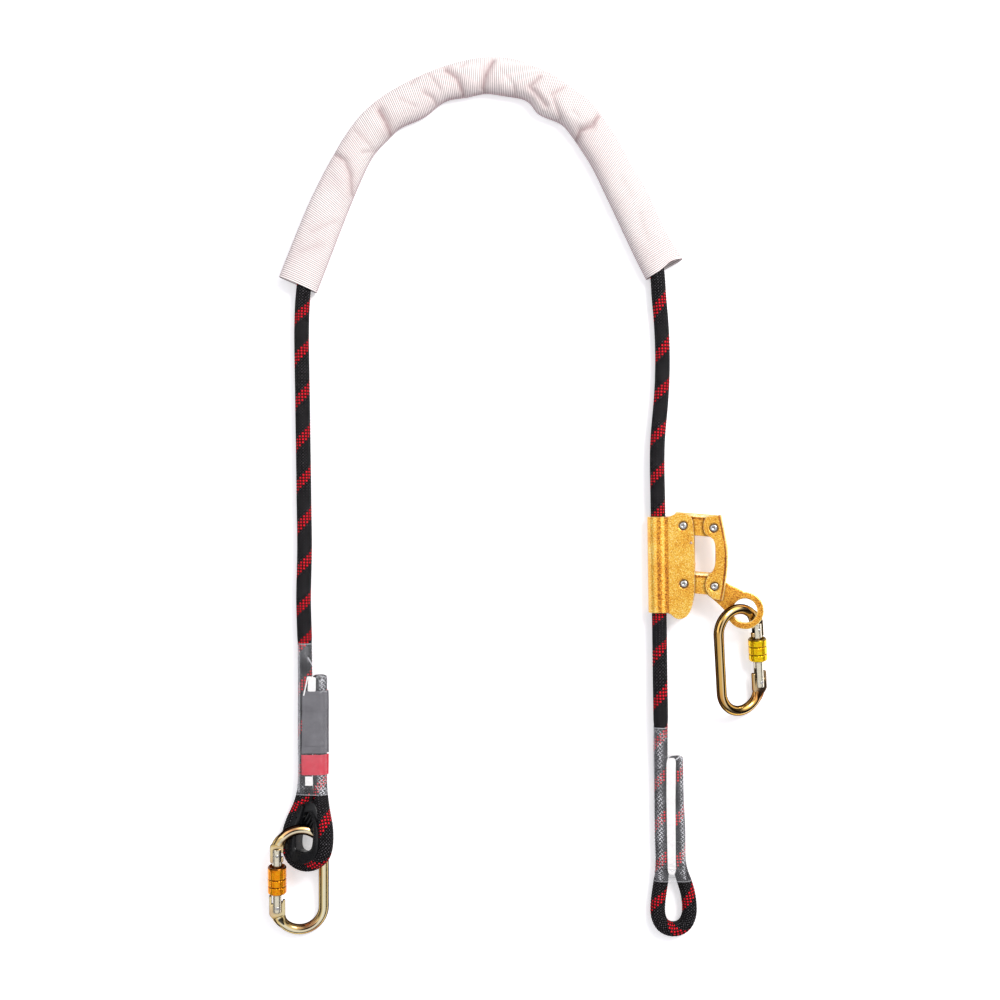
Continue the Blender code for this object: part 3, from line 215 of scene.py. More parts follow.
def mixed(share, first, second, blend="MIX"):
    """Two colours mixed by a share."""
    first, second = (c if isinstance(c, Value) else (*c, 1) for c in (first, second))
    settings = {"data_type": "RGBA", "blend_type": blend}
    sockets = {0: share, 6: first, 7: second}
    return output(tree_of(share, first, second), "ShaderNodeMix", sockets, 2, **settings)


def set_bump(shader, height, strength, distance):
    sockets = {"Height": height, "Strength": strength, "Distance": distance}
    feed(shader, {"Normal": output(height.tree, "ShaderNodeBump", sockets, "Normal")})


def swell(part):
    """A strand's height across it, from 0 at its edges to 1."""
    return maths("SINE", part * math.pi)


def weave(a, b):
    """From the counts of strands of two families: where the first family lies on top, and
    the place across whichever strand is on top."""
    parity = maths("FLOORED_MODULO", maths("FLOOR", a) + maths("FLOOR", b), 2.0)
    over = maths("LESS_THAN", parity, 0.5)
    return over, maths("FRACT", a) * over + maths("FRACT", b) * (1.0 - over)


def edge_shade(colour, shade, low=0.04, high=0.42):
    """Paints shade into a colour: multiplies it by shade where the surface turns away from above."""
    normal = output(colour.tree, "ShaderNodeNewGeometry", key="Normal")
    up = maths("ABSOLUTE", split(normal)[2])
    return mixed(1, colour, mixed(spread(up, low, high), shade, WHITE), "MULTIPLY")


def contact_shade(colour, reach=0.003):
    """Paints shade into a colour where something stands close over the surface."""
    near = output(colour.tree, "ShaderNodeAmbientOcclusion", {"Distance": reach}, "AO", samples=6)
    dark = spread(maths("POWER", near, 1.6), 0.0, 1.0, 0.95, 0.0)
    return mixed(1, colour, mixed(dark, WHITE, PAINTED_SHADE), "MULTIPLY")


def worn_and_highlit_edges(colour):
    """Lightens a colour where the surface turns sharply: a painted highlight, and handling wear."""
    soft = output(colour.tree, "ShaderNodeBevel", {"Radius": 0.0006}, samples=4)
    flat = output(colour.tree, "ShaderNodeNewGeometry", key="Normal")
    sockets = {0: soft, 1: flat}
    turn = output(colour.tree, "ShaderNodeVectorMath", sockets, "Value", operation="DOT_PRODUCT")
    return mixed(spread(turn, 0.995, 0.86, 0.0, 0.8), colour, BRIGHT_EDGE)


def rope_material():
    """Diamonds of a braid: UV holds how many strands of each family lie before a point."""
    finish, tree, shader = nodes_of("braided_rope", roughness=0.8)
    a, b, _ = split(output(tree, "ShaderNodeUVMap", uv_map="braid"))
    over, across = weave(a, b)
    place = maths("FLOORED_MODULO", maths("FLOOR", a), float(STRANDS))
    red = over * maths("LESS_THAN", place, TRACER_STRANDS - 0.5)
    # fibres lie along the strand that is on top
    fibres = maths("SINE", across * (2 * math.pi * FIBRES))
    grain = noise(tree, 900, 2)
    tone = spread(grain, 0.3, 0.7)
    # painted highlight along the middle of each strand on top, more on the first family, in black and
    # in red
    stroke = maths("POWER", swell(across), 3.0)
    lit = tone * stroke * spread(over, 0.0, 1.0, 0.55, 1.0)
    red_highlight = stroke * spread(tone, 0.0, 1.0, 0.35, 1.0)
    shaded = mixed(red, mixed(lit, BLACK_DARK, BLACK_LIGHT), mixed(red_highlight, RED_DARK, RED_LIGHT))
    # painted shade in the gaps between strands, narrower between the red ones
    dip = swell(maths("FRACT", a)) * swell(maths("FRACT", b))
    gap = maths("MAXIMUM", spread(dip, 0.12, 0.66), red * spread(dip, 0.03, 0.34))
    rough = spread(lit, 0.0, 0.8, 0.95, 0.36)
    feed(shader, {"Base Color": mixed(gap, BLACK_DARK, shaded), "Roughness": rough})
    feed(shader, {"Specular IOR Level": 0.07})
    set_bump(shader, fibres + grain * 2.0, 0.7, 0.00016)
    return finish


def webbing_material():
    """Ribbed webbing: V of the UV counts ribs, U runs round the tube."""
    finish, tree, shader = nodes_of("ribbed_webbing", roughness=0.85)
    around, along, _ = split(output(tree, "ShaderNodeUVMap", uv_map="ribs"))
    groove = spread(maths("ABSOLUTE", maths("FRACT", along) - 0.5), 0.20, 0.45)
    second = maths("FLOORED_MODULO", maths("FLOOR", along), 2.0)
    deep = groove * (0.62 + second * 0.38)
    yarn = maths("SINE", around * (2 * math.pi * SLEEVE_YARNS))
    grain = noise(tree, 260)
    pale = mixed(spread(noise(tree, 22, 2), 0.35, 0.65), WEBBING_COOL, WEBBING_WARM)
    dark = mixed(spread(grain, 0.3, 0.7), GROOVE_DARK, GROOVE_LIGHT)
    # painted shade in the creases and along the outer edge, and on sides that turn away from above
    streaky = spread(grain, 0.3, 0.7, 0.75, 1.1)
    fold_shading = maths("MULTIPLY", attribute(tree, "fold_shading"), streaky, clamp=True)
    colour = edge_shade(mixed(fold_shading, mixed(deep, pale, dark), FOLD_SHADE), WEBBING_EDGE)
    feed(shader, {"Base Color": colour, "Sheen Weight": 0.2, "Sheen Roughness": 0.5})
    set_bump(shader, yarn * 0.35 + grain, 0.35, 0.00015)
    return finish


def gold_zinc_material():
    """Yellow zinc plate: mottled gold with a fine orange-peel grain. The pieces' tone
    attribute paints shade into it towards their bends, and highlights and reflections where they
    shine."""
    finish, tree, shader = nodes_of("gold_zinc", roughness=0.4, metallic=0.55)
    fine = noise(tree, 1000, 3, 0.7)
    mottle = fine * 0.8 + noise(tree, 45, 4, 0.6) * 0.2
    gold = ramp(0.5 + (mottle - 0.5) * 1.35 + attribute(tree, "tone") * 0.20, GOLD_STOPS)
    rough = spread(fine, 0.3, 0.7, 0.28, 0.48)
    # painted shade where parts stand close, and a painted highlight with handling wear on sharp edges
    feed(shader, {"Base Color": contact_shade(worn_and_highlit_edges(gold)), "Roughness": rough})
    set_bump(shader, fine, 0.5, 0.00022)
    return finish


def connector_material(name, tint):
    """Bright zinc under yellow passivation, with its faint rainbow. The tone attribute
    paints bright and dark reflections along the rod, and shade under it."""
    finish, tree, shader = nodes_of(name, roughness=0.2, metallic=1.0)
    stops = [(place, [c * t for c, t in zip(colour, tint)]) for place, colour in ZINC_STOPS]
    tone = attribute(tree, "tone")
    # painted reflections along the rod from the tone attribute, then painted shade where parts stand
    # close
    colour = mixed(spread(tone, 0.0, 1.0), ramp(noise(tree, 26, 3, 0.5), stops), ROD_BRIGHT)
    colour = contact_shade(mixed(spread(tone, 0.0, -1.0), colour, ROD_DARK))
    fine = noise(tree, 350, 4, 0.65)
    rough = spread(fine, 0.3, 0.7, 0.08, 0.17)
    # painted shade on the rod's flanks
    feed(shader, {"Base Color": edge_shade(colour, FLANK, 0.30, 0.78), "Roughness": rough})
    feed(shader, {"Specular Tint": (0.20, 0.13, 0.09, 1)})
    set_bump(shader, fine, 0.12, 0.0001)
    return finish


def steel_material(name, light, dark, roughness, flank=False):
    finish, tree, shader = nodes_of(name, roughness=roughness, metallic=1.0)
    fine = noise(tree, 500, 4, 0.65)
    colour = mixed(spread(fine, 0.3, 0.7), dark, light)
    # painted shade on flanks that turn away from above
    if flank:
        colour = edge_shade(colour, FLANK, 0.12, 0.62)
    rough = spread(fine, 0.3, 0.7, roughness * 0.75, roughness * 1.3)
    # painted shade where parts stand close
    feed(shader, {"Base Color": contact_shade(colour), "Roughness": rough})
    set_bump(shader, fine, 0.2, 0.0001)
    return finish


def anodised_material(name, bright, deep):
    """Dyed aluminium; the tone attribute paints shade into its grooves and onto its rims."""
    finish, tree, shader = nodes_of(name, roughness=0.27, metallic=0.85)
    fine = noise(tree, 300, 3, 0.6)
    colour = mixed(spread(fine, 0.35, 0.65), deep, bright)
    colour = mixed(spread(attribute(tree, "tone"), 0.0, -1.0), colour, [c * 0.10 for c in deep])
    # painted shade on sides that turn away from above, and where parts stand close
    colour = edge_shade(colour, ANODISED_EDGE, 0.05, 0.4)
    feed(shader, {"Base Color": contact_shade(colour, 0.002)})
    set_bump(shader, fine, 0.1, 0.0001)
    return finish


def plastic_material(name, colour, roughness, gloss=0.5):
    finish, tree, shader = nodes_of(name, colour, roughness)
    fine = noise(tree, 400, 3, 0.6)
    dark, light = [c * 0.75 for c in colour], [min(c * 1.2, 1) for c in colour]
    rough = spread(fine, 0.3, 0.7, roughness * 0.8, roughness * 1.2)
    feed(shader, {"Base Color": mixed(spread(fine, 0.3, 0.7), dark, light), "Roughness": rough})
    feed(shader, {"Specular IOR Level": gloss})
    set_bump(shader, fine, 0.25, 0.00012)
    return finish


def film_material():
    """Clear shrunk film: see-through, with painted glints as silvery strokes where the braid
    presses it, and painted highlights along its white folds. Its attributes say where it
    touches the braid and where it is folded."""
    finish, tree, shader = nodes_of("clear_film", (0.86, 0.86, 0.92), 0.16)
    a, b, fold_highlight, touch_glint, skin = (attribute(tree, name) for name in FILM_VALUES)
    # painted glints in the braid's strokes where the film touches it, and painted highlights along its
    # folds
    patch = spread(noise(tree, 95, 3, 0.6), 0.4, 0.56, 0.35, 1.0)
    glint = maths("POWER", swell(weave(a, b)[1]), 5.0) * patch * touch_glint
    haze = spread(noise(tree, 60, 4, 0.6), 0.35, 0.7, 0.04, 0.11)
    alpha = maths("MAXIMUM", haze + glint * 0.9, fold_highlight, clamp=True) * skin
    fine = noise(tree, 240)
    rough = spread(fine, 0.3, 0.7, 0.08, 0.22)
    feed(shader, {"Alpha": alpha, "Roughness": rough, "Specular IOR Level": 0.7})
    set_bump(shader, fine, 0.35, 0.0005)
    return finish


def label_material():
    """Printed film, blank: the ink attribute gives grey, white or red."""
    finish, tree, shader = nodes_of("film_label", roughness=0.45)
    ink = attribute(tree, "ink")
    grain = noise(tree, 420, 3, 0.6)
    colour = mixed(maths("GREATER_THAN", ink, 0.5), GREY_INK, WHITE_INK)
    colour = mixed(maths("GREATER_THAN", ink, 1.5), colour, RED_INK)
    sockets = {"Color": colour, "Value": spread(grain, 0.3, 0.7, 0.86, 1.0)}
    feed(shader, {"Base Color": output(tree, "ShaderNodeHueSaturation", sockets, "Color")})
    set_bump(shader, grain, 0.3, 0.0002)
    return finish


# Rope

ROPE_DIAMETER = 0.015
SPLICE_SHARE = 0.95
SPLICE_EASE = 0.006
STRANDS = 14  # strands of each family round the rope
TRACER_STRANDS = 4
FIBRES = 2.5  # fibre bundles across a strand
CELL_STEPS = 4  # mesh steps across a strand
STRAND_RELIEF = 0.00075
# Each end closes in rings: the size of each, and how far out it lies
ROPE_CAP = [(0.93, 0.0006), (0.72, 0.0014), (0.3, 0.0019), (0.02, 0.002)]
# The braid's black and red, each from its painted shade to its painted highlight
BLACK_DARK = (0.0006, 0.0006, 0.0007)
BLACK_LIGHT = (0.15, 0.14, 0.155)
RED_DARK = (0.62, 0.004, 0.014)
RED_LIGHT = (1.0, 0.035, 0.055)
# The straight run that the grab slides along: its head, its length and its lean
RUN_HEAD = (0.1388, 0.037, 0.0109)
RUN_LENGTH = 0.264
RUN_LEAN = 0.01326


def on_run(down):
    """The place on the straight run that lies this far down it."""
    return (RUN_HEAD[0] + down * RUN_LEAN, RUN_HEAD[1] - down, RUN_HEAD[2])


ROPE_ROUTE = [
    (-0.1979, -0.1812, 0.0081), (-0.1979, -0.215, 0.0081), (-0.1979, -0.25, 0.0081),
    (-0.1979, -0.282, 0.0083), (-0.1964, -0.3029, 0.012), (-0.193, -0.3167, 0.0205),
    (-0.1896, -0.3307, 0.0283), (-0.1892, -0.339, 0.0304), (-0.1899, -0.347, 0.031),
    (-0.1925, -0.3547, 0.0299), (-0.1977, -0.3605, 0.0272), (-0.2041, -0.3642, 0.0236),
    (-0.2111, -0.3657, 0.0195), (-0.2181, -0.3648, 0.0152), (-0.2244, -0.361, 0.0113),
    (-0.2281, -0.3542, 0.0086), (-0.2291, -0.346, 0.0078), (-0.2283, -0.3378, 0.0078),
    (-0.2231, -0.3222, 0.0082), (-0.2165, -0.3071, 0.0082), (-0.2127, -0.282, 0.0081),
    (-0.2127, -0.25, 0.0081), (-0.2127, -0.215, 0.0081), (-0.2128, -0.17, 0.0081),
    (-0.2132, -0.145, 0.0081), (-0.2144, -0.105, 0.0075), (-0.2135, -0.06, 0.0075),
    (-0.2139, -0.015, 0.0075), (-0.2145, 0.03, 0.0075), (-0.2152, 0.075, 0.0075),
    (-0.2158, 0.115, 0.0075), (-0.2164, 0.155, 0.0075), (-0.2158, 0.185, 0.0081),
    (-0.2138, 0.208, 0.009), (-0.2085, 0.233, 0.009), (-0.1995, 0.26, 0.009),
    (-0.185, 0.295, 0.009), (-0.164, 0.339, 0.009), (-0.14, 0.369, 0.009), (-0.101, 0.3965, 0.009),
    (-0.068, 0.4115, 0.009), (-0.032, 0.4195, 0.009), (-0.002, 0.4165, 0.009),
    (0.029, 0.4015, 0.009), (0.0585, 0.376, 0.009), (0.079, 0.3515, 0.009), (0.0905, 0.3325, 0.009),
    (0.113, 0.288, 0.009), (0.132, 0.247, 0.009), (0.1388, 0.223, 0.0089), (0.1405, 0.202, 0.0086),
    (0.1425, 0.18, 0.0078), (0.1443, 0.148, 0.0075), (0.144, 0.112, 0.0076), (0.142, 0.084, 0.0085),
    (0.1397, 0.06, 0.0101),
    *[on_run(k * RUN_LENGTH / 7) for k in range(8)],
    (0.1424, -0.25, 0.0094), (0.1427, -0.27, 0.0082), (0.1433, -0.305, 0.0081),
    (0.144, -0.345, 0.0081), (0.1443, -0.372, 0.0081), (0.1418, -0.393, 0.0076),
    (0.1398, -0.41, 0.0075), (0.1402, -0.42, 0.0075), (0.1452, -0.43, 0.0075),
    (0.1552, -0.4338, 0.0075), (0.1655, -0.43, 0.0075), (0.1708, -0.42, 0.0075),
    (0.1712, -0.408, 0.0075), (0.1685, -0.393, 0.0076), (0.1618, -0.372, 0.0081),
    (0.1603, -0.345, 0.0081), (0.1588, -0.305, 0.0081), (0.158, -0.27, 0.0081),
    (0.1579, -0.2622, 0.0081),
]
# Where the rope's film begins and ends, by y
SPLICES = {"left": (-0.148, -0.295), "right": (-0.229, -0.380)}
# The tracer's turns: view y of each band on the left leg, from its foot up, then on the
# right leg, from its head down
LEFT_BANDS = [642, 606, 565, 523, 481, 440, 398, 355, 314]
RIGHT_BANDS = [304, 350, 390, 433, 473, 512]
RIGHT_LOW_BANDS = [648, 695]
ARCH_TURNS = 15


def smooth_curve(points, per_span=24):
    """A dense natural cubic spline through points, spaced by their distances."""
    places = np.array(points, float)
    steps = np.linalg.norm(np.diff(places, axis=0), axis=1)
    count = len(places)
    matrix = np.eye(count)
    right = np.zeros_like(places)
    for k in range(1, count - 1):
        matrix[k, k - 1 : k + 2] = steps[k - 1], 2 * (steps[k - 1] + steps[k]), steps[k]
        right[k] = 6 * (
            (places[k + 1] - places[k]) / steps[k] - (places[k] - places[k - 1]) / steps[k - 1]
        )
    bend = np.linalg.solve(matrix, right)
    dense = []
    for k in range(count - 1):
        for t in np.linspace(0, steps[k], per_span, endpoint=False):
            rest = steps[k] - t
            dense.append(
                (bend[k] * rest**3 + bend[k + 1] * t**3) / (6 * steps[k])
                + (places[k] / steps[k] - bend[k] * steps[k] / 6) * rest
                + (places[k + 1] / steps[k] - bend[k + 1] * steps[k] / 6) * t
            )
    dense.append(places[-1])
    return np.array(dense)


def run_of(line):
    return np.concatenate([[0], np.cumsum(np.linalg.norm(np.diff(line, axis=0), axis=1))])


def sampled(line, run, at):
    return np.stack([np.interp(at, run, line[:, axis]) for axis in range(3)], axis=1)


def carried_frames(line, first=(0, 0, 1)):
    """Tangents, and two sides that don't spin about them, along a line."""
    ahead = np.gradient(line, axis=0)
    ahead /= np.linalg.norm(ahead, axis=1)[:, None]
    up = np.array(first, float)
    ups = []
    for tangent in ahead:
        up = up - tangent * (up @ tangent)
        up = up / np.linalg.norm(up)
        ups.append(up)
    ups = np.array(ups)
    return ahead, ups, np.cross(ahead, ups)


def grid_corners(rows, columns, closed=False):
    """The row and the column of each quad's four corners. Columns run on past the last."""
    row, column = np.arange(rows if closed else rows - 1), np.arange(columns)
    r, c = np.meshgrid(row, column, indexing="ij")
    around = np.stack([c, c + 1, c + 1, c], axis=-1).reshape(-1, 4)
    return np.stack([r, r, r + 1, r + 1], axis=-1).reshape(-1, 4) % rows, around


def grid_faces(rows, columns, closed=False):
    r, c = grid_corners(rows, columns, closed)
    return r * columns + c % columns


def mesh_of_grid(name, points, closed=False, uv_name=None, uv_at=None):
    """A mesh of quads over rows of points, each row a ring. A closed grid's last row joins
    its first, and it faces the other way. uv_at gives u and v from row and column."""
    rows, columns = points.shape[:2]
    r, c = (index[:, ::-1] if closed else index for index in grid_corners(rows, columns, closed))
    faces = r * columns + c % columns
    mesh = bpy.data.meshes.new(name)
    mesh.vertices.add(rows * columns)
    mesh.vertices.foreach_set("co", points.reshape(-1).astype(np.float32))
    mesh.loops.add(faces.size)
    mesh.loops.foreach_set("vertex_index", faces.reshape(-1).astype(np.int32))
    mesh.polygons.add(len(faces))
    mesh.polygons.foreach_set("loop_start", np.arange(0, faces.size, 4, dtype=np.int32))
    mesh.update(calc_edges=True)
    mesh.shade_smooth()
    if uv_at:
        both = np.stack(uv_at(r, c), axis=-1)
        layer = mesh.uv_layers.new(name=uv_name)
        layer.data.foreach_set("uv", both.reshape(-1).astype(np.float32))
    return mesh


def set_values(mesh, name, values):
    """Gives each point of a mesh its value of a named attribute."""
    layer = mesh.attributes.new(name, "FLOAT", "POINT")
    layer.data.foreach_set("value", np.asarray(values, np.float32).reshape(-1))


def placed(name, mesh, finish, body, node, slot):
    """Puts a mesh in the scene, on a body and in the place of a node of the frame."""
    mesh.materials.clear()
    mesh.materials.append(finish)
    thing = bpy.data.objects.new(name, mesh)
    SCENE.collection.objects.link(thing)
    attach(thing, body)
    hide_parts(node)
    return thing


def tube_points(line, up, side, radius, count):
    """Rings of points round a line. The radius is one number, or one for each point."""
    turn = 2 * np.pi * np.arange(count) / count
    radius = np.broadcast_to(radius, (len(line), count))
    lift, shift = (radius * wave(turn) for wave in (np.cos, np.sin))
    return line[:, None] + up[:, None] * lift[..., None] + side[:, None] * shift[..., None]


def run_at(line, run, y, leftwards, upwards):
    """How far along the line it first passes y, on the wanted leg and heading."""
    for k in range(1, len(line)):
        on_leg = (line[k, 0] < VIEW_CENTRE[0]) == leftwards
        rising = line[k, 1] > line[k - 1, 1]
        if not on_leg or rising != upwards:
            continue
        if (line[k, 1] - y) * (line[k - 1, 1] - y) <= 0:
            return run[k]
    raise ValueError(f"the line never passes {y}")


def tracer_turns(line, run):
    """How many turns the tracer has made at each place along the rope."""
    _, up, side = carried_frames(line)
    # the carried frame's own turn about the rope, so that a band's middle lies on top
    spun = np.unwrap(np.arctan2(side[:, 2], up[:, 2])) / (2 * np.pi)
    places, turns = [], []
    turn = 0
    for bands, leftwards, upwards, more in (
        (LEFT_BANDS, True, True, ARCH_TURNS),
        (RIGHT_BANDS, False, False, 3),
        (RIGHT_LOW_BANDS, False, False, 0),
    ):
        for y in bands:
            places.append(run_at(line, run, spot(0, y).y, leftwards, upwards))
            turns.append(turn + np.interp(places[-1], run, spun))
            turn += 1
        turn += more
    pitch = (places[2] - places[1]) / (turns[2] - turns[1])
    turns = [turns[0] - places[0] / pitch] + turns
    places = [0.0] + places
    turns.append(turns[-1] + (run[-1] - places[-1]) / pitch)
    places.append(run[-1])
    return np.interp(run, places, turns)


def splice_share(line):
    """How much the film squeezes the rope, along it."""
    share = np.ones(len(line))
    for side, (top, bottom) in SPLICES.items():
        here = (line[:, 0] < VIEW_CENTRE[0]) == (side == "left")
        inside = np.minimum(top - line[:, 1], line[:, 1] - bottom) / SPLICE_EASE
        share = np.where(here, 1 - (1 - SPLICE_SHARE) * np.clip(inside + 1, 0, 1), share)
    return share


def build_rope():
    dense = smooth_curve(ROPE_ROUTE)
    run = run_of(dense)
    turns = tracer_turns(dense, run)
    columns = CELL_STEPS * STRANDS
    count = int((turns[-1] - turns[0]) * columns)
    at_turns = turns[0] + np.arange(count + 1) / columns
    line = sampled(dense, run, np.interp(at_turns, turns, run))
    ahead, up, side = carried_frames(line)
    # strands of both families that lie before each point
    before = np.arange(columns)[None] / columns * STRANDS
    a = before - at_turns[:, None] * STRANDS + TRACER_STRANDS / 2
    b = before + at_turns[:, None] * STRANDS
    relief = np.sqrt(np.abs(np.sin(np.pi * a) * np.sin(np.pi * b)))
    radius = ROPE_DIAMETER / 2 * splice_share(line)[:, None] - STRAND_RELIEF * (1 - relief)
    points = tube_points(line, up, side, radius, columns)
    start = [line[0] + (points[0] - line[0]) * s - ahead[0] * out for s, out in ROPE_CAP[::-1]]
    end = [line[-1] + (points[-1] - line[-1]) * s + ahead[-1] * out for s, out in ROPE_CAP]
    points = np.concatenate([start, points, end])

    def braid_at(row, column):
        turned = at_turns[np.clip(row - len(ROPE_CAP), 0, len(at_turns) - 1)]
        a = (column / columns - turned) * STRANDS + TRACER_STRANDS / 2
        return a, (column / columns + turned) * STRANDS

    mesh = mesh_of_grid("rope_braid", points, uv_name="braid", uv_at=braid_at)
    rope = placed("rope_braid", mesh, rope_material(), "lanyard", "rope", "black_rope")
    return rope, dense, run


# Protective sleeve

SLEEVE_OUTER = [
    (278.7, 276.5), (294, 238), (310, 200), (336, 150), (365, 110), (410, 80), (455, 62.5),
    (490, 56.8), (516, 59.2), (535.5, 66.2), (560.5, 79), (574.4, 89), (598, 109), (603, 117),
    (613, 131), (630, 161), (646.7, 190), (663, 225), (682.9, 258.9),
]
SLEEVE_INNER = [
    (316.4, 292.7), (330, 257.5), (352.5, 200), (365.5, 170), (374, 154.5), (383, 144), (390, 137),
    (399, 128.5), (414, 121.5), (428, 114), (440, 104), (448, 99.8), (466, 96.8), (485.5, 93),
    (500, 94.5), (513, 96.5), (525, 99.5), (531, 104), (536, 111), (547, 117.5), (563, 125),
    (570, 133), (579, 146), (590, 163), (602, 187), (619, 223), (635.5, 258), (646.3, 279.4),
]
SLEEVE_RIB = 0.00193
SLEEVE_RIB_STEPS = 5
SLEEVE_ROUND_STEPS = 72
SLEEVE_YARNS = 90
SLEEVE_TOP = 0.0186
SLEEVE_CROWN_LIFT = 0.0016
SLEEVE_EDGE = 0.0058
SLEEVE_INNER_ROWS = 120
SLEEVE_FOOT_Y = 0.19
ROPE_HEIGHT_IN_SLEEVE = 0.009
ROPE_CLEARANCE = 0.0003
SLEEVE_RIB_RELIEF = 0.00022
SLEEVE_WALL = 0.0011
MOUTH_DEPTH = 0.003
MOUTH_START = 0.972  # where the right mouth begins, as a share of the sleeve's run
SLEEVE_EDGES = (SLEEVE_OUTER, SLEEVE_INNER)
# Painted shade on the webbing's sides, and in its creases
WEBBING_EDGE = (0.72, 0.62, 0.64)
FOLD_SHADE = (0.33, 0.225, 0.23)
WEBBING_COOL = (0.87, 0.78, 0.77)
WEBBING_WARM = (0.925, 0.865, 0.85)
GROOVE_DARK = (0.13, 0.065, 0.08)
GROOVE_LIGHT = (0.24, 0.14, 0.16)
# Creases pressed into the bend: width, depth, and the view places that each runs through
SLEEVE_CREASES = [
    (4.5, 2.6, [(380, 112), (386, 122), (392, 138)]),
    (3.0, 1.9, [(335, 154), (346, 162), (351, 176), (352, 194)]),
    (2.2, 1.1, [(411, 84), (417, 78)]),
    (2.6, 1.5, [(424, 94), (432, 98), (438, 106)]),
    (3.6, 2.3, [(446, 71), (457, 79), (463, 94)]),
    (2.2, 1.0, [(461, 68), (466, 63)]),
    (2.2, 0.8, [(400, 100), (415, 107)]),
    (2.4, 1.2, [(363, 153), (380, 149)]),
    (3.2, 2.9, [(493, 62), (486, 76), (483, 88), (487, 96)]),
    (3.0, 2.0, [(540, 78), (530, 88), (537, 95), (546, 106)]),
    (2.4, 1.5, [(564, 88), (551, 96)]),
    (3.2, 2.8, [(598, 117), (592, 127), (580, 131), (575, 143)]),
    (2.4, 1.3, [(514, 88), (516, 98)]),
    (2.4, 1.2, [(553, 100), (560, 118)]),
    (2.0, 0.8, [(572, 112), (585, 122)]),
    (2.0, 0.7, [(500, 70), (512, 84)]),
    (2.2, 0.8, [(428, 74), (440, 90)]),
    (3.0, 0.8, [(354, 130), (372, 148)]),
    (3.5, 0.6, [(312, 232), (334, 222)]),
    (3.5, 0.6, [(300, 252), (318, 246)]),
    (4.0, 0.6, [(622, 178), (632, 196)]),
    (4.0, 0.6, [(640, 214), (648, 240)]),
]
# Swellings between the creases
SLEEVE_BULGES = [
    (7.0, 1.2, [(372, 122), (384, 134)]),
    (6.5, 1.2, [(340, 176), (346, 192)]),
    (6.0, 1.3, [(472, 78), (474, 92)]),
    (6.0, 1.2, [(499, 78), (503, 92)]),
    (5.5, 1.2, [(540, 94), (543, 98)]),
    (6.0, 1.6, [(583, 122), (594, 119)]),
    (6.0, 1.0, [(563, 104), (567, 118)]),
    (6.0, 0.9, [(440, 82), (449, 96)]),
    (8.0, 0.7, [(404, 92), (396, 112)]),
    (8.0, 0.6, [(524, 74), (520, 92)]),
]


def drawn(places, z=0.015):
    """A flat line through view places, in metres, as it lies at the height z."""
    return np.array([spot(x, y, z).to_2d() for x, y in places])


def distance_to(points, line):
    """Each point's distance to a line of points, both flat."""
    best = np.full(points.shape[:-1], np.inf)
    for first, last in zip(line[:-1], line[1:]):
        step = last - first
        share = np.clip(((points - first) @ step) / (step @ step), 0, 1)
        best = np.minimum(best, np.linalg.norm(points - first - share[..., None] * step, axis=-1))
    return best


def pressed(points):
    """How far creases and swellings move the cloth's top, at flat places."""
    moved = np.zeros(points.shape[:-1])
    for marks, sign in ((SLEEVE_CREASES, -MM), (SLEEVE_BULGES, MM)):
        for width, depth, places in marks:
            away = distance_to(points, drawn(places)) / (width * MM)
            moved += sign * depth * np.exp(-(away**2))
    return moved


def creased(points):
    """How much painted shade each flat place gets from lying in a crease, from 0 to 1."""
    deep = np.zeros(points.shape[:-1])
    for width, depth, places in SLEEVE_CREASES:
        away = distance_to(points, drawn(places)) / (width * 0.55 * MM)
        shade = 0.52 * np.exp(-(away**2)) + 0.34 * np.exp(-((away / 3.0) ** 2))
        deep = np.maximum(deep, min(depth / 2.5, 1) * shade)
    return deep


def over_rope(flat, rope_line):
    """The lowest that the cloth's outer side lies over the rope, at flat places."""
    inside = rope_line[rope_line[:, 1] > SLEEVE_FOOT_Y]
    away = distance_to(flat, inside[::6, :2])
    reach = ROPE_DIAMETER / 2 + SLEEVE_WALL + ROPE_CLEARANCE
    return ROPE_HEIGHT_IN_SLEEVE + np.sqrt(np.maximum(reach**2 - away**2, 0))


def soft_max(first, second, ease):
    """The larger of two heights, with a rounded change between them."""
    apart = first - second
    return second + (apart + np.sqrt(apart**2 + ease**2)) / 2


def superellipse(wave, power=0.8):
    return np.sign(wave) * np.abs(wave) ** power


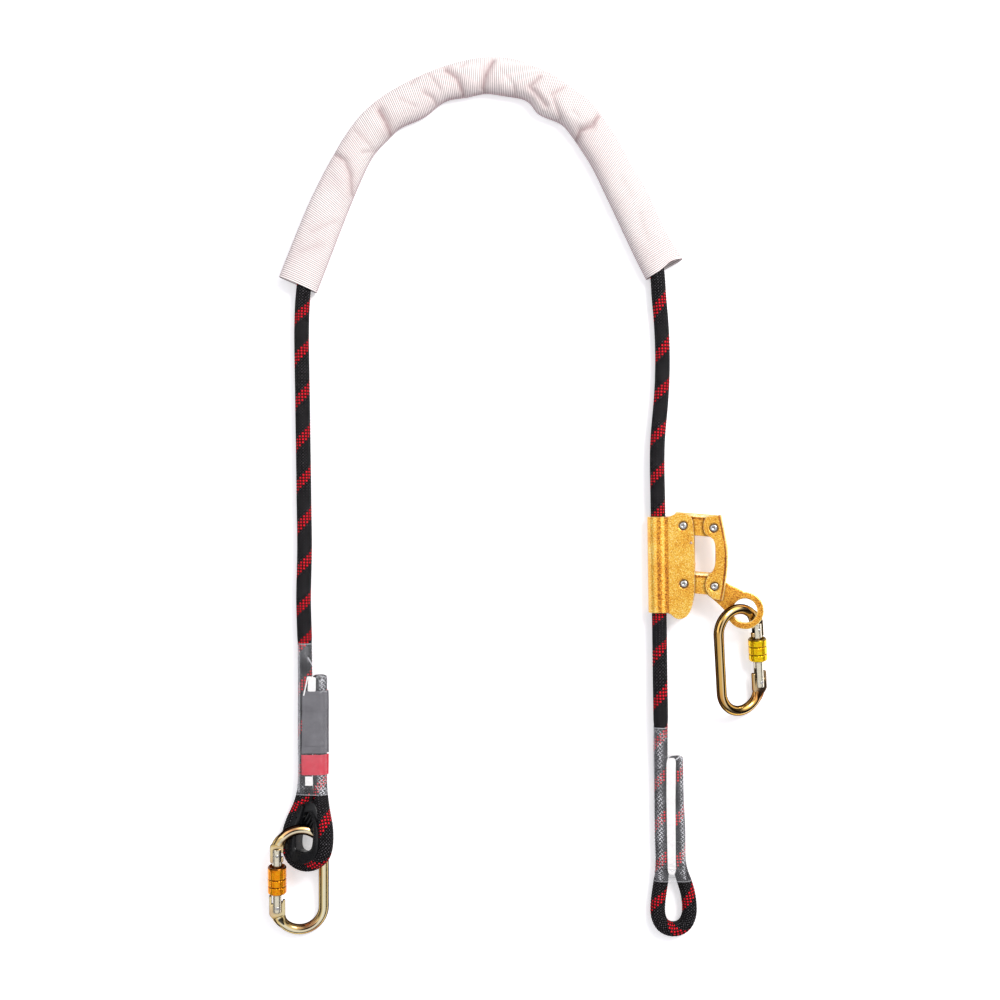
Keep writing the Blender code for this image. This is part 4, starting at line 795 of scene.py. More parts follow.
def build_sleeve(rope_line):
    edges = [smooth_curve([spot(x, y, 0.009) for x, y in line])[:, :2] for line in SLEEVE_EDGES]
    runs = [run_of(line) for line in edges]
    ribs = int(0.5 * (runs[0][-1] + runs[1][-1]) / SLEEVE_RIB)
    rows, columns = ribs * SLEEVE_RIB_STEPS + 1, SLEEVE_ROUND_STEPS
    share = np.linspace(0, 1, rows)
    outer, inner = (
        np.stack([np.interp(share * run[-1], run, line[:, axis]) for axis in (0, 1)], axis=1)
        for line, run in zip(edges, runs)
    )
    middle, half = (outer + inner) / 2, (inner - outer) / 2
    angle = 2 * np.pi * np.arange(columns) / columns
    across, lift = superellipse(np.cos(angle)), superellipse(np.sin(angle))
    flat = middle[:, None] + half[:, None] * across[None, :, None]
    # the upper lip of the right mouth draws back, so that the mouth stands open
    ahead = np.gradient(middle, axis=0)
    ahead /= np.linalg.norm(ahead, axis=1)[:, None]
    near_end = np.clip((share - MOUTH_START) / (1 - MOUTH_START), 0, 1)[:, None] ** 2
    lip = near_end * (np.exp(-(((across + 0.38) / 0.45) ** 2)) * (lift > 0.02))[None]
    flat = flat - ahead[:, None] * (lip * MOUTH_DEPTH)[..., None]
    crown = np.sin(np.pi * share)[:, None]
    top = SLEEVE_TOP + SLEEVE_CROWN_LIFT * crown**2
    above = SLEEVE_EDGE + (top - SLEEVE_EDGE) * lift[None]
    below = np.maximum(FLOOR_GAP, SLEEVE_EDGE + SLEEVE_EDGE * 1.5 * lift[None])
    height = np.where(lift[None] >= 0, above, below)
    # the top carries the creases, but stays over the rope
    lowest = np.where(lift[None] > 0.3, over_rope(flat, rope_line), 0.0)
    wished = height + pressed(flat) * np.clip(lift, 0, 1)[None] ** 0.5
    height = np.where(lift[None] > 0, soft_max(wished, lowest, 0.0008), height)
    rib = np.cos(2 * np.pi * share * ribs)[:, None]
    rib = (-np.abs(rib) ** 3 * np.sign(rib) * 0.5 - 0.5) * SLEEVE_RIB_RELIEF
    # ribs stand along the cloth's own outward side
    out_flat = across / np.hypot(across, lift)
    out_up = lift / np.hypot(across, lift)
    side = half / np.linalg.norm(half, axis=1)[:, None]
    ribbed = flat + side[:, None] * (out_flat[None] * rib)[..., None]
    raised = np.maximum(height + out_up[None] * rib, FLOOR_GAP)
    # the inner face runs back through the tube, a wall's thickness inside
    kept = np.linspace(rows - 1, 0, SLEEVE_INNER_ROWS).astype(int)
    sunk_flat = flat[kept] - side[kept][:, None] * (out_flat[None] * SLEEVE_WALL)[..., None]
    sunk_up = np.maximum(height[kept] - out_up[None] * SLEEVE_WALL, FLOOR_GAP + SLEEVE_WALL)
    faces = ((ribbed, raised), (sunk_flat, sunk_up))
    points = np.concatenate([np.concatenate([xy, z[..., None]], axis=-1) for xy, z in faces])
    along = np.concatenate([np.arange(rows), kept]) / SLEEVE_RIB_STEPS

    def ribs_at(row, column):
        return column / columns, along[row]

    mesh = mesh_of_grid("sleeve_webbing", points, True, "ribs", ribs_at)
    # painted shade in the creases, and along the outer edge's fold as in a crease
    fold_shading = creased(flat) * (lift > 0.15)[None]
    fold_shading = np.maximum(fold_shading, (0.8 * np.exp(-(((across + 1) / 0.05) ** 2)))[None])
    set_values(mesh, "fold_shading", np.concatenate([fold_shading, np.zeros((SLEEVE_INNER_ROWS, columns))]))
    finish = webbing_material()
    return placed("sleeve_webbing", mesh, finish, "lanyard", "protective_sleeve", "webbing")


# Frames of the moving groups, as the part's source sets them

GRAB_PLACE = on_run(0.0965)
GRAB = (
    Matrix.Translation(GRAB_PLACE)
    @ Matrix.Rotation(math.atan(RUN_LEAN), 4, "Z")
    @ Matrix.Rotation(-math.radians(10.7), 4, "Y")
)
LINKS = {
    "left": {
        "side": -1,
        "place": (-0.21654, -0.38273, 0.0141),
        "turn": (8.09, 9.98, 0.40),
        "lock_length": 0.0277,
        "lock_below_latch": 0.0118,
        "shoulders": (0.0120, 0.0070),
        "grooves": (0.44, 0.72),
        "slot": "orange_anodised",
    },
    "right": {
        "side": 1,
        "place": (0.21873, -0.16346, 0.02196),
        "turn": (11.65, 25.91, 9.75),
        "lock_length": 0.0225,
        "lock_below_latch": 0.0092,
        "shoulders": (0.0105, 0.0100),
        "grooves": (0.34, 0.70),
        "slot": "yellow_anodised",
    },
}


def link_frame(link):
    turn = Matrix.Rotation(0, 4, "Z")
    for axis, degrees in zip("XYZ", link["turn"]):
        turn = Matrix.Rotation(math.radians(degrees), 4, axis) @ turn
    return Matrix.Translation(link["place"]) @ turn


def on_plane(where, x, y, height=0.0):
    """The place in a frame's plane, at height over it, that the view shows at x, y."""
    into = where.inverted()
    eye = into @ Vector((*VIEW_CENTRE, VIEW_HEIGHT))
    far = into @ spot(x, y, 0)
    share = (height - eye.z) / (far.z - eye.z)
    return (eye + (far - eye) * share).to_2d()


# Shapes: each part is its points and its faces, and a piece joins several


def arc(middle, radius, start, end, steps):
    """Points on a circle's arc, both ends among them."""
    turns = np.linspace(start, end, steps + 1)
    return [(middle[0] + radius * math.cos(t), middle[1] + radius * math.sin(t)) for t in turns]


def rounded(corners, steps=5):
    """An outline whose corners, each x, y and a radius, are rounded off."""
    outline = []
    for index, (x, y, radius) in enumerate(corners):
        here = Vector((x, y))
        before = Vector(corners[index - 1][:2]) - here
        after = Vector(corners[(index + 1) % len(corners)][:2]) - here
        if radius <= 0:
            outline.append((x, y))
            continue
        half = before.angle(after) / 2
        back = min(radius / math.tan(half), before.length / 2.02, after.length / 2.02)
        radius = back * math.tan(half)
        middle = here + (before.normalized() + after.normalized()).normalized() * (
            radius / math.sin(half)
        )
        first = here + before.normalized() * back - middle
        last = here + after.normalized() * back - middle
        turn = first.angle_signed(last)
        for k in range(steps + 1):
            outline.append(tuple(middle + Matrix.Rotation(-turn * k / steps, 2) @ first))
    return outline


def through(places, per_span=6):
    """A closed smooth outline through flat places."""
    loop = [(*p, 0.0) for p in places[-3:] + places + places[:3]]
    dense = smooth_curve(loop, per_span)
    return [tuple(p[:2]) for p in dense[3 * per_span : -3 * per_span + 1][:-1]]


def drawn_in(outline, depth):
    """The outline moved in by depth, or out where depth is negative."""
    line = np.array(outline, float)
    after = np.roll(line, -1, axis=0) - line
    before = line - np.roll(line, 1, axis=0)
    after /= np.linalg.norm(after, axis=1)[:, None] + 1e-12
    before /= np.linalg.norm(before, axis=1)[:, None] + 1e-12
    area = np.sum(line[:, 0] * np.roll(line[:, 1], -1) - np.roll(line[:, 0], -1) * line[:, 1])
    left = np.stack([-after[:, 1], after[:, 0]], axis=1)
    left_before = np.stack([-before[:, 1], before[:, 0]], axis=1)
    mean = left + left_before
    mean /= np.linalg.norm(mean, axis=1)[:, None] + 1e-12
    stretch = 1 / np.maximum(np.sum(mean * left, axis=1), 0.5)
    return line + mean * (stretch * depth * (1 if area > 0 else -1))[:, None]


def plate_part(outline, holes, low, high, bevel):
    """A flat plate between two heights, with rounded edges and open holes."""
    points, faces = [], []
    rims = {"low": [], "high": []}
    turns = [math.radians(t) for t in (0, 30, 60, 90)]
    for index, line in enumerate([outline] + list(holes)):
        sign = 1 if index == 0 else -1
        steps = [(bevel * (1 - math.sin(t)) * sign, bevel * (1 - math.cos(t))) for t in turns]
        rings = [(drawn_in(line, depth), low + rise) for depth, rise in steps]
        rings += [(drawn_in(line, depth), high - rise) for depth, rise in steps[::-1]]
        count, first = len(line), len(points)
        for flat, z in rings:
            points.extend((x, y, z) for x, y in flat)
        area = sum(a[0] * b[1] - b[0] * a[1] for a, b in zip(line, list(line[1:]) + [line[0]]))
        way = 1 if (area > 0) == (index == 0) else -1
        faces += [tuple(quad[::way]) for quad in (grid_faces(len(rings), count) + first).tolist()]
        rims["low"].append((first, count))
        rims["high"].append((first + (len(rings) - 1) * count, count))
    for word, upward in (("low", False), ("high", True)):
        loops = [[Vector(points[k]) for k in range(s, s + n)] for s, n in rims[word]]
        index = [k for s, n in rims[word] for k in range(s, s + n)]
        for triangle in tessellate_polygon(loops):
            a, b, c = (index[k] for k in triangle)
            pa, pb, pc = (Vector(points[k]) for k in (a, b, c))
            up = (pb - pa).cross(pc - pa).z > 0
            faces.append((a, b, c) if up == upward else (a, c, b))
    return points, faces


def grid_part(rows, closed=False, caps=False):
    """Quads over rows of points, each row a ring, with a cap at each end if wanted."""
    rows = np.asarray(rows, float)
    count, columns = rows.shape[:2]
    faces = [tuple(quad) for quad in grid_faces(count, columns, closed).tolist()]
    if caps:
        faces.append(tuple(range(columns))[::-1])
        faces.append(tuple(range((count - 1) * columns, count * columns)))
    return [tuple(p) for p in rows.reshape(-1, 3)], faces


def sheet_part(middle, half, round_out):
    """A plate bent along a grid of middle points, its borders rounded by round_out."""
    grid = np.asarray(middle, float)
    rows, columns = grid.shape[:2]
    size = rows * columns
    normal = np.cross(np.gradient(grid, axis=1), np.gradient(grid, axis=0))
    normal /= np.linalg.norm(normal, axis=2)[..., None] + 1e-12
    out = grid.copy()
    for axis, count in ((0, rows), (1, columns)):
        for edge, inner in ((0, 1), (count - 1, count - 2)):
            pick = (slice(None),) * axis + (edge,)
            away = grid[pick] - grid[(slice(None),) * axis + (inner,)]
            out[pick] += away / (np.linalg.norm(away, axis=1)[:, None] + 1e-12) * round_out
    grid, normal, out = (block.reshape(-1, 3) for block in (grid, normal, out))
    points = [tuple(p) for p in np.concatenate([grid + normal * half, grid - normal * half])]
    faces = []
    for r in range(rows - 1):
        for k in range(r * columns, r * columns + columns - 1):
            quad = (k, k + 1, k + 1 + columns, k + columns)
            faces += [quad, tuple(corner + size for corner in quad[::-1])]
    border = list(range(columns)) + [r * columns + columns - 1 for r in range(1, rows)]
    border += list(range(size - 2, size - columns - 1, -1))
    border += [r * columns for r in range(rows - 2, 0, -1)]
    chains = [border]
    for share in (0.62, 0.0, -0.62):
        chains.append(list(range(len(points), len(points) + len(border))))
        reach = 1 - 0.25 * abs(share)
        for k in border:
            rim = grid[k] + (out[k] - grid[k]) * reach
            points.append(tuple(rim + normal[k] * half * share))
    chains.append([k + size for k in border])
    for first, second in zip(chains, chains[1:]):
        for k in range(len(border)):
            n = (k + 1) % len(border)
            faces.append((first[k], second[k], second[n], first[n]))
    return points, faces


def turned_part(profile, steps=32, closed=True):
    """A profile of radius and height turned about z; an open one gets caps."""
    turns = np.linspace(0, 2 * np.pi, steps, endpoint=False)
    rows = [[(r * math.cos(t), r * math.sin(t), h) for t in turns] for r, h in profile]
    return grid_part(rows, closed, caps=not closed)


def both_faces(profile):
    """A turned profile and its mirror image across z = 0, as one profile."""
    return profile + [(r, -h) for r, h in profile[::-1]]


def joined(parts):
    points, faces = [], []
    for some, others in parts:
        first = len(points)
        points.extend(some)
        faces.extend(tuple(k + first for k in face) for face in others)
    return points, faces


def moved_part(part, matrix):
    points, faces = part
    return [tuple(matrix @ Vector(p)) for p in points], faces


def moved_to(part, place):
    return moved_part(part, Matrix.Translation((place[0], place[1], 0)))


def mesh_of_part(name, part, where):
    """A part's mesh, placed by a frame, with its faces turned outwards."""
    mesh = bpy.data.meshes.new(name)
    mesh.from_pydata(part[0], [], part[1])
    mesh.transform(where)
    work = bmesh.new()
    work.from_mesh(mesh)
    bmesh.ops.recalc_face_normals(work, faces=work.faces)
    work.to_mesh(mesh)
    work.free()
    return mesh


def shade(mesh, sharp):
    mesh.shade_smooth()
    mesh.set_sharp_from_angle(angle=math.radians(sharp))


def piece(name, parts, finish, body, node, slot, where=WORLD, sharp=38, tone=None):
    """One piece of the scene from its parts, placed by a frame, on a body."""
    part = joined(parts)
    mesh = mesh_of_part(name, part, where)
    if tone:
        set_values(mesh, "tone", [tone(*p) for p in part[0]])
    shade(mesh, sharp)
    return placed(name, mesh, finish, body, node, slot)


def band(value, low, high, ease=0.0004):
    """1 where value lies between low and high, 0 well outside."""
    inside = min(value - low, high - value) / ease
    return min(max(inside + 0.5, 0.0), 1.0)


def cut(thing, parts, where=WORLD, crossing=False):
    """Cuts parts out of a piece and keeps the result."""
    tool = bpy.data.objects.new("cutter", mesh_of_part("cutter", joined(parts), where))
    SCENE.collection.objects.link(tool)
    change = thing.modifiers.new("cut", "BOOLEAN")
    change.operation = "DIFFERENCE"
    change.solver = "EXACT"
    change.use_self = crossing
    change.object = tool
    graph = bpy.context.evaluated_depsgraph_get()
    result = bpy.data.meshes.new_from_object(thing.evaluated_get(graph))
    thing.modifiers.remove(change)
    old = thing.data
    thing.data = result
    bpy.data.meshes.remove(old)
    bpy.data.objects.remove(tool)
    shade(thing.data, 38)


# Rope grab

SHELL_WALL = 0.0025
SHELL_BORE = 0.0082
FLANGE_MIDDLE = 0.00705
GRAB_SURFACE = FLANGE_MIDDLE + SHELL_WALL / 2
PLATE_HALF = 0.0023
PLATE_ROUND = 0.0005
BODY_PIVOTS = [(0.0252, 0.02875), (0.0252, -0.02875)]
ARM_LENGTH = 0.03
ARM_TURN = math.radians(-5)
ARM_OVER, ARM_UNDER = 0.0129, 0.0085
ARM_REACH = (ARM_LENGTH * math.cos(ARM_TURN), ARM_LENGTH * math.sin(ARM_TURN))
OUTER_PIVOTS = [(x + ARM_REACH[0], y + ARM_REACH[1]) for x, y in BODY_PIVOTS]
HANDLE_WEB_ROWS = 58
RING_PLACE = (0.0843, -0.0556)
# The lever's upper and lower edges by its ring, as view places
LEVER_EDGES = [
    [(724, 581.5), (731, 585.6), (737.5, 588.4), (743, 591.0)],
    [(727.5, 614), (722, 607.6), (716.5, 602.5), (710, 597.2), (704, 592.5)],
]
# The lever's heel and its jaw, from its pivot
LEVER_HEEL = [
    (0.0095, -0.009), (0, -0.0088), (-0.0138, -0.007), (-0.0138, 0.0029), (0, 0.0088), (0.015, 0.0075),
]
JAW_CORNERS = [(-0.0172, 0), (-0.0172, -0.01), (-0.0104, -0.01), (-0.0104, 0.0044), (-0.016, 0.0029)]
# The flange's upper and lower edges, as view places from the channel outwards
FLANGE_TOP = [
    (660, 517.2), (666, 517.2), (669, 517.0), (672, 515.8), (676, 513.9), (680, 513.2), (684, 513.6),
    (688, 514.9), (691, 517.3), (692.8, 521), (693.6, 527), (694.0, 534),
]
FLANGE_FOOT = [
    (662, 612.6), (668, 612.8), (671, 614.2), (674.5, 617.3), (678, 618.8), (682, 618.4), (686, 616.6),
    (689.2, 613), (691.4, 607.5), (693.2, 600), (694.3, 592), (694.9, 583),
]


def edge_heights(places, height):
    """An edge of the grab, drawn in the view, as matching x and y in its frame."""
    flat = np.array([on_plane(GRAB, x, y, height) for x, y in places])
    return flat[:, 0], flat[:, 1]


def shell_tone(x, y, z):
    """Painted reflections and shade: dark along the channel's flank and its inner bend,
    bright on its ridge and flange.
    """
    tone = 0.34 * band(x, -0.02, -0.0007)
    tone -= 0.38 * band(x, -0.0007, 0.0033, 0.0008)
    tone += 0.34 * band(x, 0.004, 0.0064, 0.0008)
    tone -= 0.4 * band(x, 0.0068, 0.01, 0.0008)
    tone -= 0.35 * band(x, 0.0097, 0.0104, 0.0003)
    tone += 0.3 * band(x, 0.0106, 0.05)
    return tone


def shell_path(edge):
    """The shell's section: a flange, a soft bend, the channel, and back again."""
    middle = SHELL_BORE + SHELL_WALL / 2
    soft = 0.008
    bend_x = math.sqrt((middle + soft) ** 2 - (FLANGE_MIDDLE + soft) ** 2)
    meet = math.atan2(FLANGE_MIDDLE + soft, bend_x)
    upper = [(x, FLANGE_MIDDLE) for x in np.linspace(edge, bend_x, 44)[:-1]]
    upper += arc((bend_x, FLANGE_MIDDLE + soft), soft, -math.pi / 2, meet - math.pi, 10)[:-1]
    round_it = arc((0, 0), middle, meet, 2 * math.pi - meet, 64)
    return upper + round_it + [(x, -z) for x, z in upper[::-1]]


def bore_part(radius, reach):
    """A drill along z."""
    return turned_part([(0, -reach), (radius, -reach), (radius, reach), (0, reach)], 16)


def gold_piece(name, parts, gold, body, node, tone, where=GRAB):
    return piece(name, parts, gold, body, node, "gold_zinc", where, sharp=50, tone=tone)


def build_shell(gold):
    """The channel round the rope with both flanges, bent from one plate."""
    top_x, top_y = edge_heights(FLANGE_TOP, FLANGE_MIDDLE)
    foot_x, foot_y = edge_heights(FLANGE_FOOT, FLANGE_MIDDLE)
    path = shell_path(float(top_x[-1]))
    ends = [(x, z, np.interp(x, foot_x, foot_y), np.interp(x, top_x, top_y)) for x, z in path]
    rows = []
    for t in np.linspace(0, 1, 64):
        t = t * t * (3 - 2 * t)
        rows.append([(x, low + (high - low) * t, z) for x, z, low, high in ends])
    part = sheet_part(rows, SHELL_WALL / 2, PLATE_ROUND)
    shell = gold_piece("grab_shell_plate", [part], gold, "grab", "grab_shell", shell_tone)
    hole = on_plane(GRAB, 691.0, 543.0, GRAB_SURFACE)
    seats = [recess_part(place) for place in BODY_PIVOTS]
    cut(shell, seats + [moved_to(bore_part(0.0013, 0.02), hole)], GRAB)


def recess_part(place):
    """A cutter for a rivet's seat on both faces, flared where it meets them."""
    steps = [
        (0, 0.004), (0.006, 0.004), (0.0053, 0.00002), (0.0046, -0.0005),
        (0.0046, -0.0013), (0.0031, -0.0013),
    ]
    profile = [(r, GRAB_SURFACE + h) for r, h in steps]
    return moved_to(turned_part(both_faces(profile), 40), place)


def build_rivet(name, place, body, node, steel):
    """A pressed rivet head on both faces, with a rolled rim and a punched middle."""
    dome = [
        (0.0, -0.0007), (0.0006, -0.0007), (0.001, -0.0001), (0.0016, 0.00025), (0.0024, 0.0003),
        (0.0031, 0.00005), (0.0036, -0.00045), (0.0038, -0.0012), (0.0029, -0.0012),
    ]
    profile = both_faces([(r, GRAB_SURFACE + h) for r, h in dome])
    part = moved_to(turned_part(profile, 32, closed=False), place)
    piece(name, [part], steel, body, node, "rivet_steel", GRAB, sharp=60)


def arm_part():
    """A U-section link about its inner pivot: two cheeks joined by a round web above."""
    half = 0.00145
    cheek = PLATE_HALF + 0.0003 + half
    bend = 0.0023
    back, front = -0.0085, 0.0362
    flat_end = ARM_OVER - half - bend
    path = [(y, cheek) for y in np.linspace(-ARM_UNDER, flat_end, 16)]
    for t in np.linspace(0, math.pi / 2, 8)[1:]:
        path.append((flat_end + bend * math.sin(t), cheek - bend * (1 - math.cos(t))))
    ends = []
    for y, z in both_faces(path):
        sink = max(0.0, abs(y) - 0.0035) / 0.005
        inset = min(0.004 * sink**2, 0.006) if y < ARM_OVER - 0.008 else 0.0
        high = front - inset
        if y < 0:  # the end turns inside the handle's bend
            high = min(high, ARM_LENGTH + math.sqrt(max(0.0047**2 - y**2, 0.0)))
        elif y < 0.004:
            high = min(high, ARM_LENGTH + 0.0047 + 0.0015 * (y / 0.004))
        ends.append((y, z, back + inset, high))
    steps = np.linspace(0, 1, 40)
    rows = [[(low + (high - low) * t, y, z) for y, z, low, high in ends] for t in steps]
    return sheet_part(rows, half, PLATE_ROUND)


def arm_tone(x, y, z):
    """A painted highlight on the web, a line of painted shade under its bend, and cheeks
    with a little painted light.
    """
    tone = 1.25 * band(y, ARM_OVER - 0.0034, ARM_OVER - 0.0006)
    tone -= 1.3 * band(y, ARM_OVER - 0.005, ARM_OVER - 0.0037)
    return tone + 0.12 * band(y, -0.02, ARM_OVER - 0.0052)


def build_arms(gold):
    turn = Matrix.Rotation(ARM_TURN, 4, "Z")
    for word, pivot, body in zip(("upper", "lower"), BODY_PIVOTS, ("upper_link", "lever")):
        where = GRAB @ Matrix.Translation((*pivot, 0)) @ turn
        gold_piece(f"{word}_arm_link", [arm_part()], gold, body, f"{word}_arm", arm_tone, where)


# The handle's inner edge and its back, from the top down, as view places
HANDLE_INNER = [
    (706.6, 516.9), (704.6, 519.5), (703.6, 524), (703.5, 528.5), (704.6, 532.5), (706.8, 535.2),
    (710.5, 537.2), (713.4, 539.6), (715.1, 543.5), (715.7, 549), (715.8, 560), (715.2, 566.5),
    (713.2, 571.0), (710.0, 574.0), (707.4, 577.2), (705.9, 581.5), (705.5, 586), (706.4, 590.5),
    (709.0, 594.6), (713.6, 598.6),
]
HANDLE_BACK = [
    (721.4, 515.4), (722.4, 521), (723.5, 526.5), (724.7, 532), (725.7, 537), (726.5, 541.5),
    (727.1, 545.5), (727.5, 549.5), (727.7, 553), (727.8, 557), (727.8, 562), (727.6, 566.5),
    (727.3, 570.5), (726.9, 574.5), (726.4, 578.5), (725.8, 583), (725.1, 587.5), (724.4, 591.5),
    (723.7, 595.7), (722.7, 600.6),
]


def grip_edge(places):
    """An edge of the handle, drawn in the view, as evenly many places in the grab's frame."""
    line = np.array([on_plane(GRAB, x, y, GRAB_SURFACE) for x, y in places])
    fine = np.linspace(0, len(line) - 1, 96)
    line = np.stack([np.interp(fine, np.arange(len(line)), line[:, k]) for k in (0, 1)], axis=1)
    for _ in range(3):
        middle = (line[:-2] + line[1:-1] * 2 + line[2:]) / 4
        line = np.concatenate([line[:1], middle, line[-1:]])
    return line


def build_handle(gold):
    """The U-section grip: a cheek on each face, and a bulged web down its back."""
    half = SHELL_WALL / 2
    bend = 0.0024
    inner, back = grip_edge(HANDLE_INNER), grip_edge(HANDLE_BACK)
    away = (back - inner) / np.linalg.norm(back - inner, axis=1)[:, None]
    parts = []
    for face in (1, -1):
        rows = []
        for first, last, way in zip(inner, back, away):
            flat_end = last - way * (half + bend)
            steps = np.linspace(0, 1, 26)
            row = [(*(first + (flat_end - first) * s), face * FLANGE_MIDDLE) for s in steps]
            for t in np.linspace(0, math.pi / 2, 7)[1:]:
                height = FLANGE_MIDDLE - bend * (1 - math.cos(t))
                row.append((*(flat_end + way * bend * math.sin(t)), face * height))
            rows.append(row)
        parts.append(sheet_part(rows, half, PLATE_ROUND))
    # the web ends where the lower arm turns in under it
    top = FLANGE_MIDDLE - bend + 0.0004
    heights = np.linspace(top, -top, 10)
    web = [[(*line, z) for z in heights] for line in (back - away * half)[:HANDLE_WEB_ROWS]]
    parts.append(sheet_part(web, half, 0.0004))

    # painted highlight along the web at the back, a line of painted shade inside its bend, a little
    # painted light elsewhere
    def tone(x, y, z):
        depth = np.linalg.norm(back - (x, y), axis=1).min()
        return 0.9 * band(depth, -0.001, 0.001) - 1.6 * band(depth, 0.0015, 0.0028) + 0.2

    handle = gold_piece("handle_grip", parts, gold, "handle_link", "handle", tone)
    cut(handle, [recess_part(place) for place in OUTER_PIVOTS], GRAB, crossing=True)


def build_lever(gold):
    """The lower jaw's plate, which runs on into the flat ring for the connector."""
    ring, pivot = Vector(RING_PLACE), Vector(BODY_PIVOTS[1])
    top, foot = ([on_plane(GRAB, x, y, PLATE_HALF) for x, y in edge] for edge in LEVER_EDGES)
    start = math.atan2(top[-1].y - ring.y, top[-1].x - ring.x) - 0.05
    end = math.atan2(foot[0].y - ring.y, foot[0].x - ring.x) + 0.12
    if end > start:
        end -= 2 * math.pi
    outline = [tuple(p) for p in top] + arc(ring, 0.0183, start, end, 56)
    outline += [tuple(p) for p in foot]
    outline += [(pivot.x + x, pivot.y + y) for x, y in LEVER_HEEL]
    hole = arc(ring, 0.0118, 0, 2 * math.pi * 47 / 48, 47)
    plate = plate_part(outline, [hole], -PLATE_HALF, PLATE_HALF, 0.001)
    jaw = rounded([(pivot.x + x, pivot.y + y, 0.0009) for x, y in JAW_CORNERS])

    # painted highlight on the ring's rims and the plate's edges; its two faces a little darker
    def tone(x, y, z):
        away = math.hypot(x - ring.x, y - ring.y)
        if abs(z) > PLATE_HALF - 0.0001:  # the plate's two faces
            return -0.22
        rims = band(away, 0.011, 0.0128, 0.0006) + 0.9 * band(away, 0.0173, 0.02, 0.0006)
        return rims or 0.3

    parts = [plate, plate_part(jaw, [], -0.0055, 0.0055, 0.0005)]
    gold_piece("lever_ring_plate", parts, gold, "lever", "cam_lever", tone)


def build_grab(gold, steel):
    build_shell(gold)
    build_arms(gold)
    build_handle(gold)
    build_lever(gold)
    for word, body_place, outer_place in zip(("upper", "lower"), BODY_PIVOTS, OUTER_PIVOTS):
        build_rivet(f"{word}_body_head", body_place, "grab", f"{word}_body_rivet", steel)
        node = f"{word}_handle_rivet"
        build_rivet(f"{word}_handle_head", outer_place, "handle_link", node, steel)


# Connectors

LOOP_LENGTH = 0.104
LOOP_WIDTH = 0.046
LOOP_STRAIGHT = (LOOP_LENGTH - LOOP_WIDTH) / 2
ROD = 0.005
PIVOT_TO_LATCH = 0.0542
FLAT_HALF = 0.0022
# Turns what was made along z to lie along the gate
UPRIGHT = Matrix.Rotation(-math.pi / 2, 4, "X")
# Painted reflections along each rod, as bands: how far out from its middle line each lies,
# and its tone
ROD_REFLECTIONS = {
    "left": [(-5.2, -4.3, -0.6), (-3.6, -2.2, -0.75), (-1.2, 1.6, 0.80), (3.8, 5.2, -1.0)],
    "right": [
        (-5.2, -4.4, -0.5), (-3.9, -1.2, -0.15), (-0.9, 0.7, -1.0), (0.9, 1.9, 0.55), (4.3, 5.2, -0.8),
    ],
}


def rod_part(side):
    """The round rod of the frame, which flattens towards both of its ends."""
    radius, straight = LOOP_WIDTH / 2, LOOP_STRAIGHT
    start = math.asin(0.0081 / radius)
    line = arc((0, -straight), radius, -start, -math.pi, 60)
    line += [(-radius, y) for y in np.linspace(-straight, straight, 30)[1:-1]]
    line += arc((0, straight), radius, math.pi, start, 60)
    line = np.array([(side * x, y) for x, y in line])
    run = run_of(line)
    ahead = np.gradient(line, axis=0)
    ahead /= np.linalg.norm(ahead, axis=1)[:, None]
    out = np.stack([-ahead[:, 1], ahead[:, 0]], axis=1)
    rows = []
    for place, way, gone in zip(line, out, np.minimum(run, run[-1] - run)):
        flat = max(0.0, 1 - gone / 0.0105)
        flat = flat * flat * (3 - 2 * flat)
        wide = ROD * (1 + 0.3 * flat)
        thick = ROD + (0.0027 - ROD) * flat
        power = 1 - 0.35 * flat
        row = []
        for t in np.linspace(0, 2 * np.pi, 56, endpoint=False):
            c, s = math.cos(t), math.sin(t)
            across = math.copysign(abs(c) ** power, c) * wide
            row.append((*(place + way * across), math.copysign(abs(s) ** power, s) * thick))
        rows.append(row)
    return grid_part(rows, caps=True)


def tongue_outline(link):
    """The flat of the frame's foot, with a shoulder on each side of the gate's hinge."""
    outer, inner = link["shoulders"]
    inside, half = 0.0054, 0.0079
    return rounded([
        (half, -0.0078, 0.004), (half, outer, 0.0011), (inside, outer, 0.0006),
        (inside, 0.003, 0.001), (-inside, 0.005, 0.001), (-inside, inner, 0.0006),
        (-half, inner, 0.0011), (-half, -0.0078, 0.004), (-0.0052, -0.0145, 0.003),
        (0.0022, -0.0145, 0.003),
    ])


def nose_outline():
    """The flat of the frame's nose, with the notch that takes the gate's latch pin."""
    return rounded([
        (0.0022, 0.0142, 0.003), (0.0068, 0.0088, 0.004), (0.0068, -0.0078, 0.0016),
        (-0.0062, -0.0078, 0.0016), (-0.0062, -0.0025, 0.0008), (0.0022, -0.0025, 0.0021),
        (0.0022, 0.0022, 0.0021), (-0.0062, 0.0022, 0.0008), (-0.0064, 0.0085, 0.003),
        (-0.005, 0.0142, 0.003),
    ])


def tube_part():
    """The gate's tube, before its ends are forked round the tongue and the nose."""
    low, high, radius = -0.0055, PIVOT_TO_LATCH + 0.0063, 0.0048
    rim = [(0.0, 0.0), (radius - 0.0007, 0.0), (radius - 0.0002, 0.0003), (radius, 0.0009)]
    profile = [(r, low + h) for r, h in rim]
    profile += [(radius, y) for y in np.linspace(low + 0.002, high - 0.002, 24)]
    profile += [(r, high - h) for r, h in rim[::-1]]
    return moved_part(turned_part(profile, 48, closed=False), UPRIGHT)


def box_part(low, high):
    (x0, y0, z0), (x1, y1, z1) = low, high
    rows = [[(x0, y0, z), (x1, y0, z), (x1, y1, z), (x0, y1, z)] for z in (z0, z1)]
    return grid_part(rows, caps=True)


def lock_foot(link):
    """Where the screw sleeve's lower end stands over the gate's hinge."""
    return PIVOT_TO_LATCH - link["lock_below_latch"] - link["lock_length"]


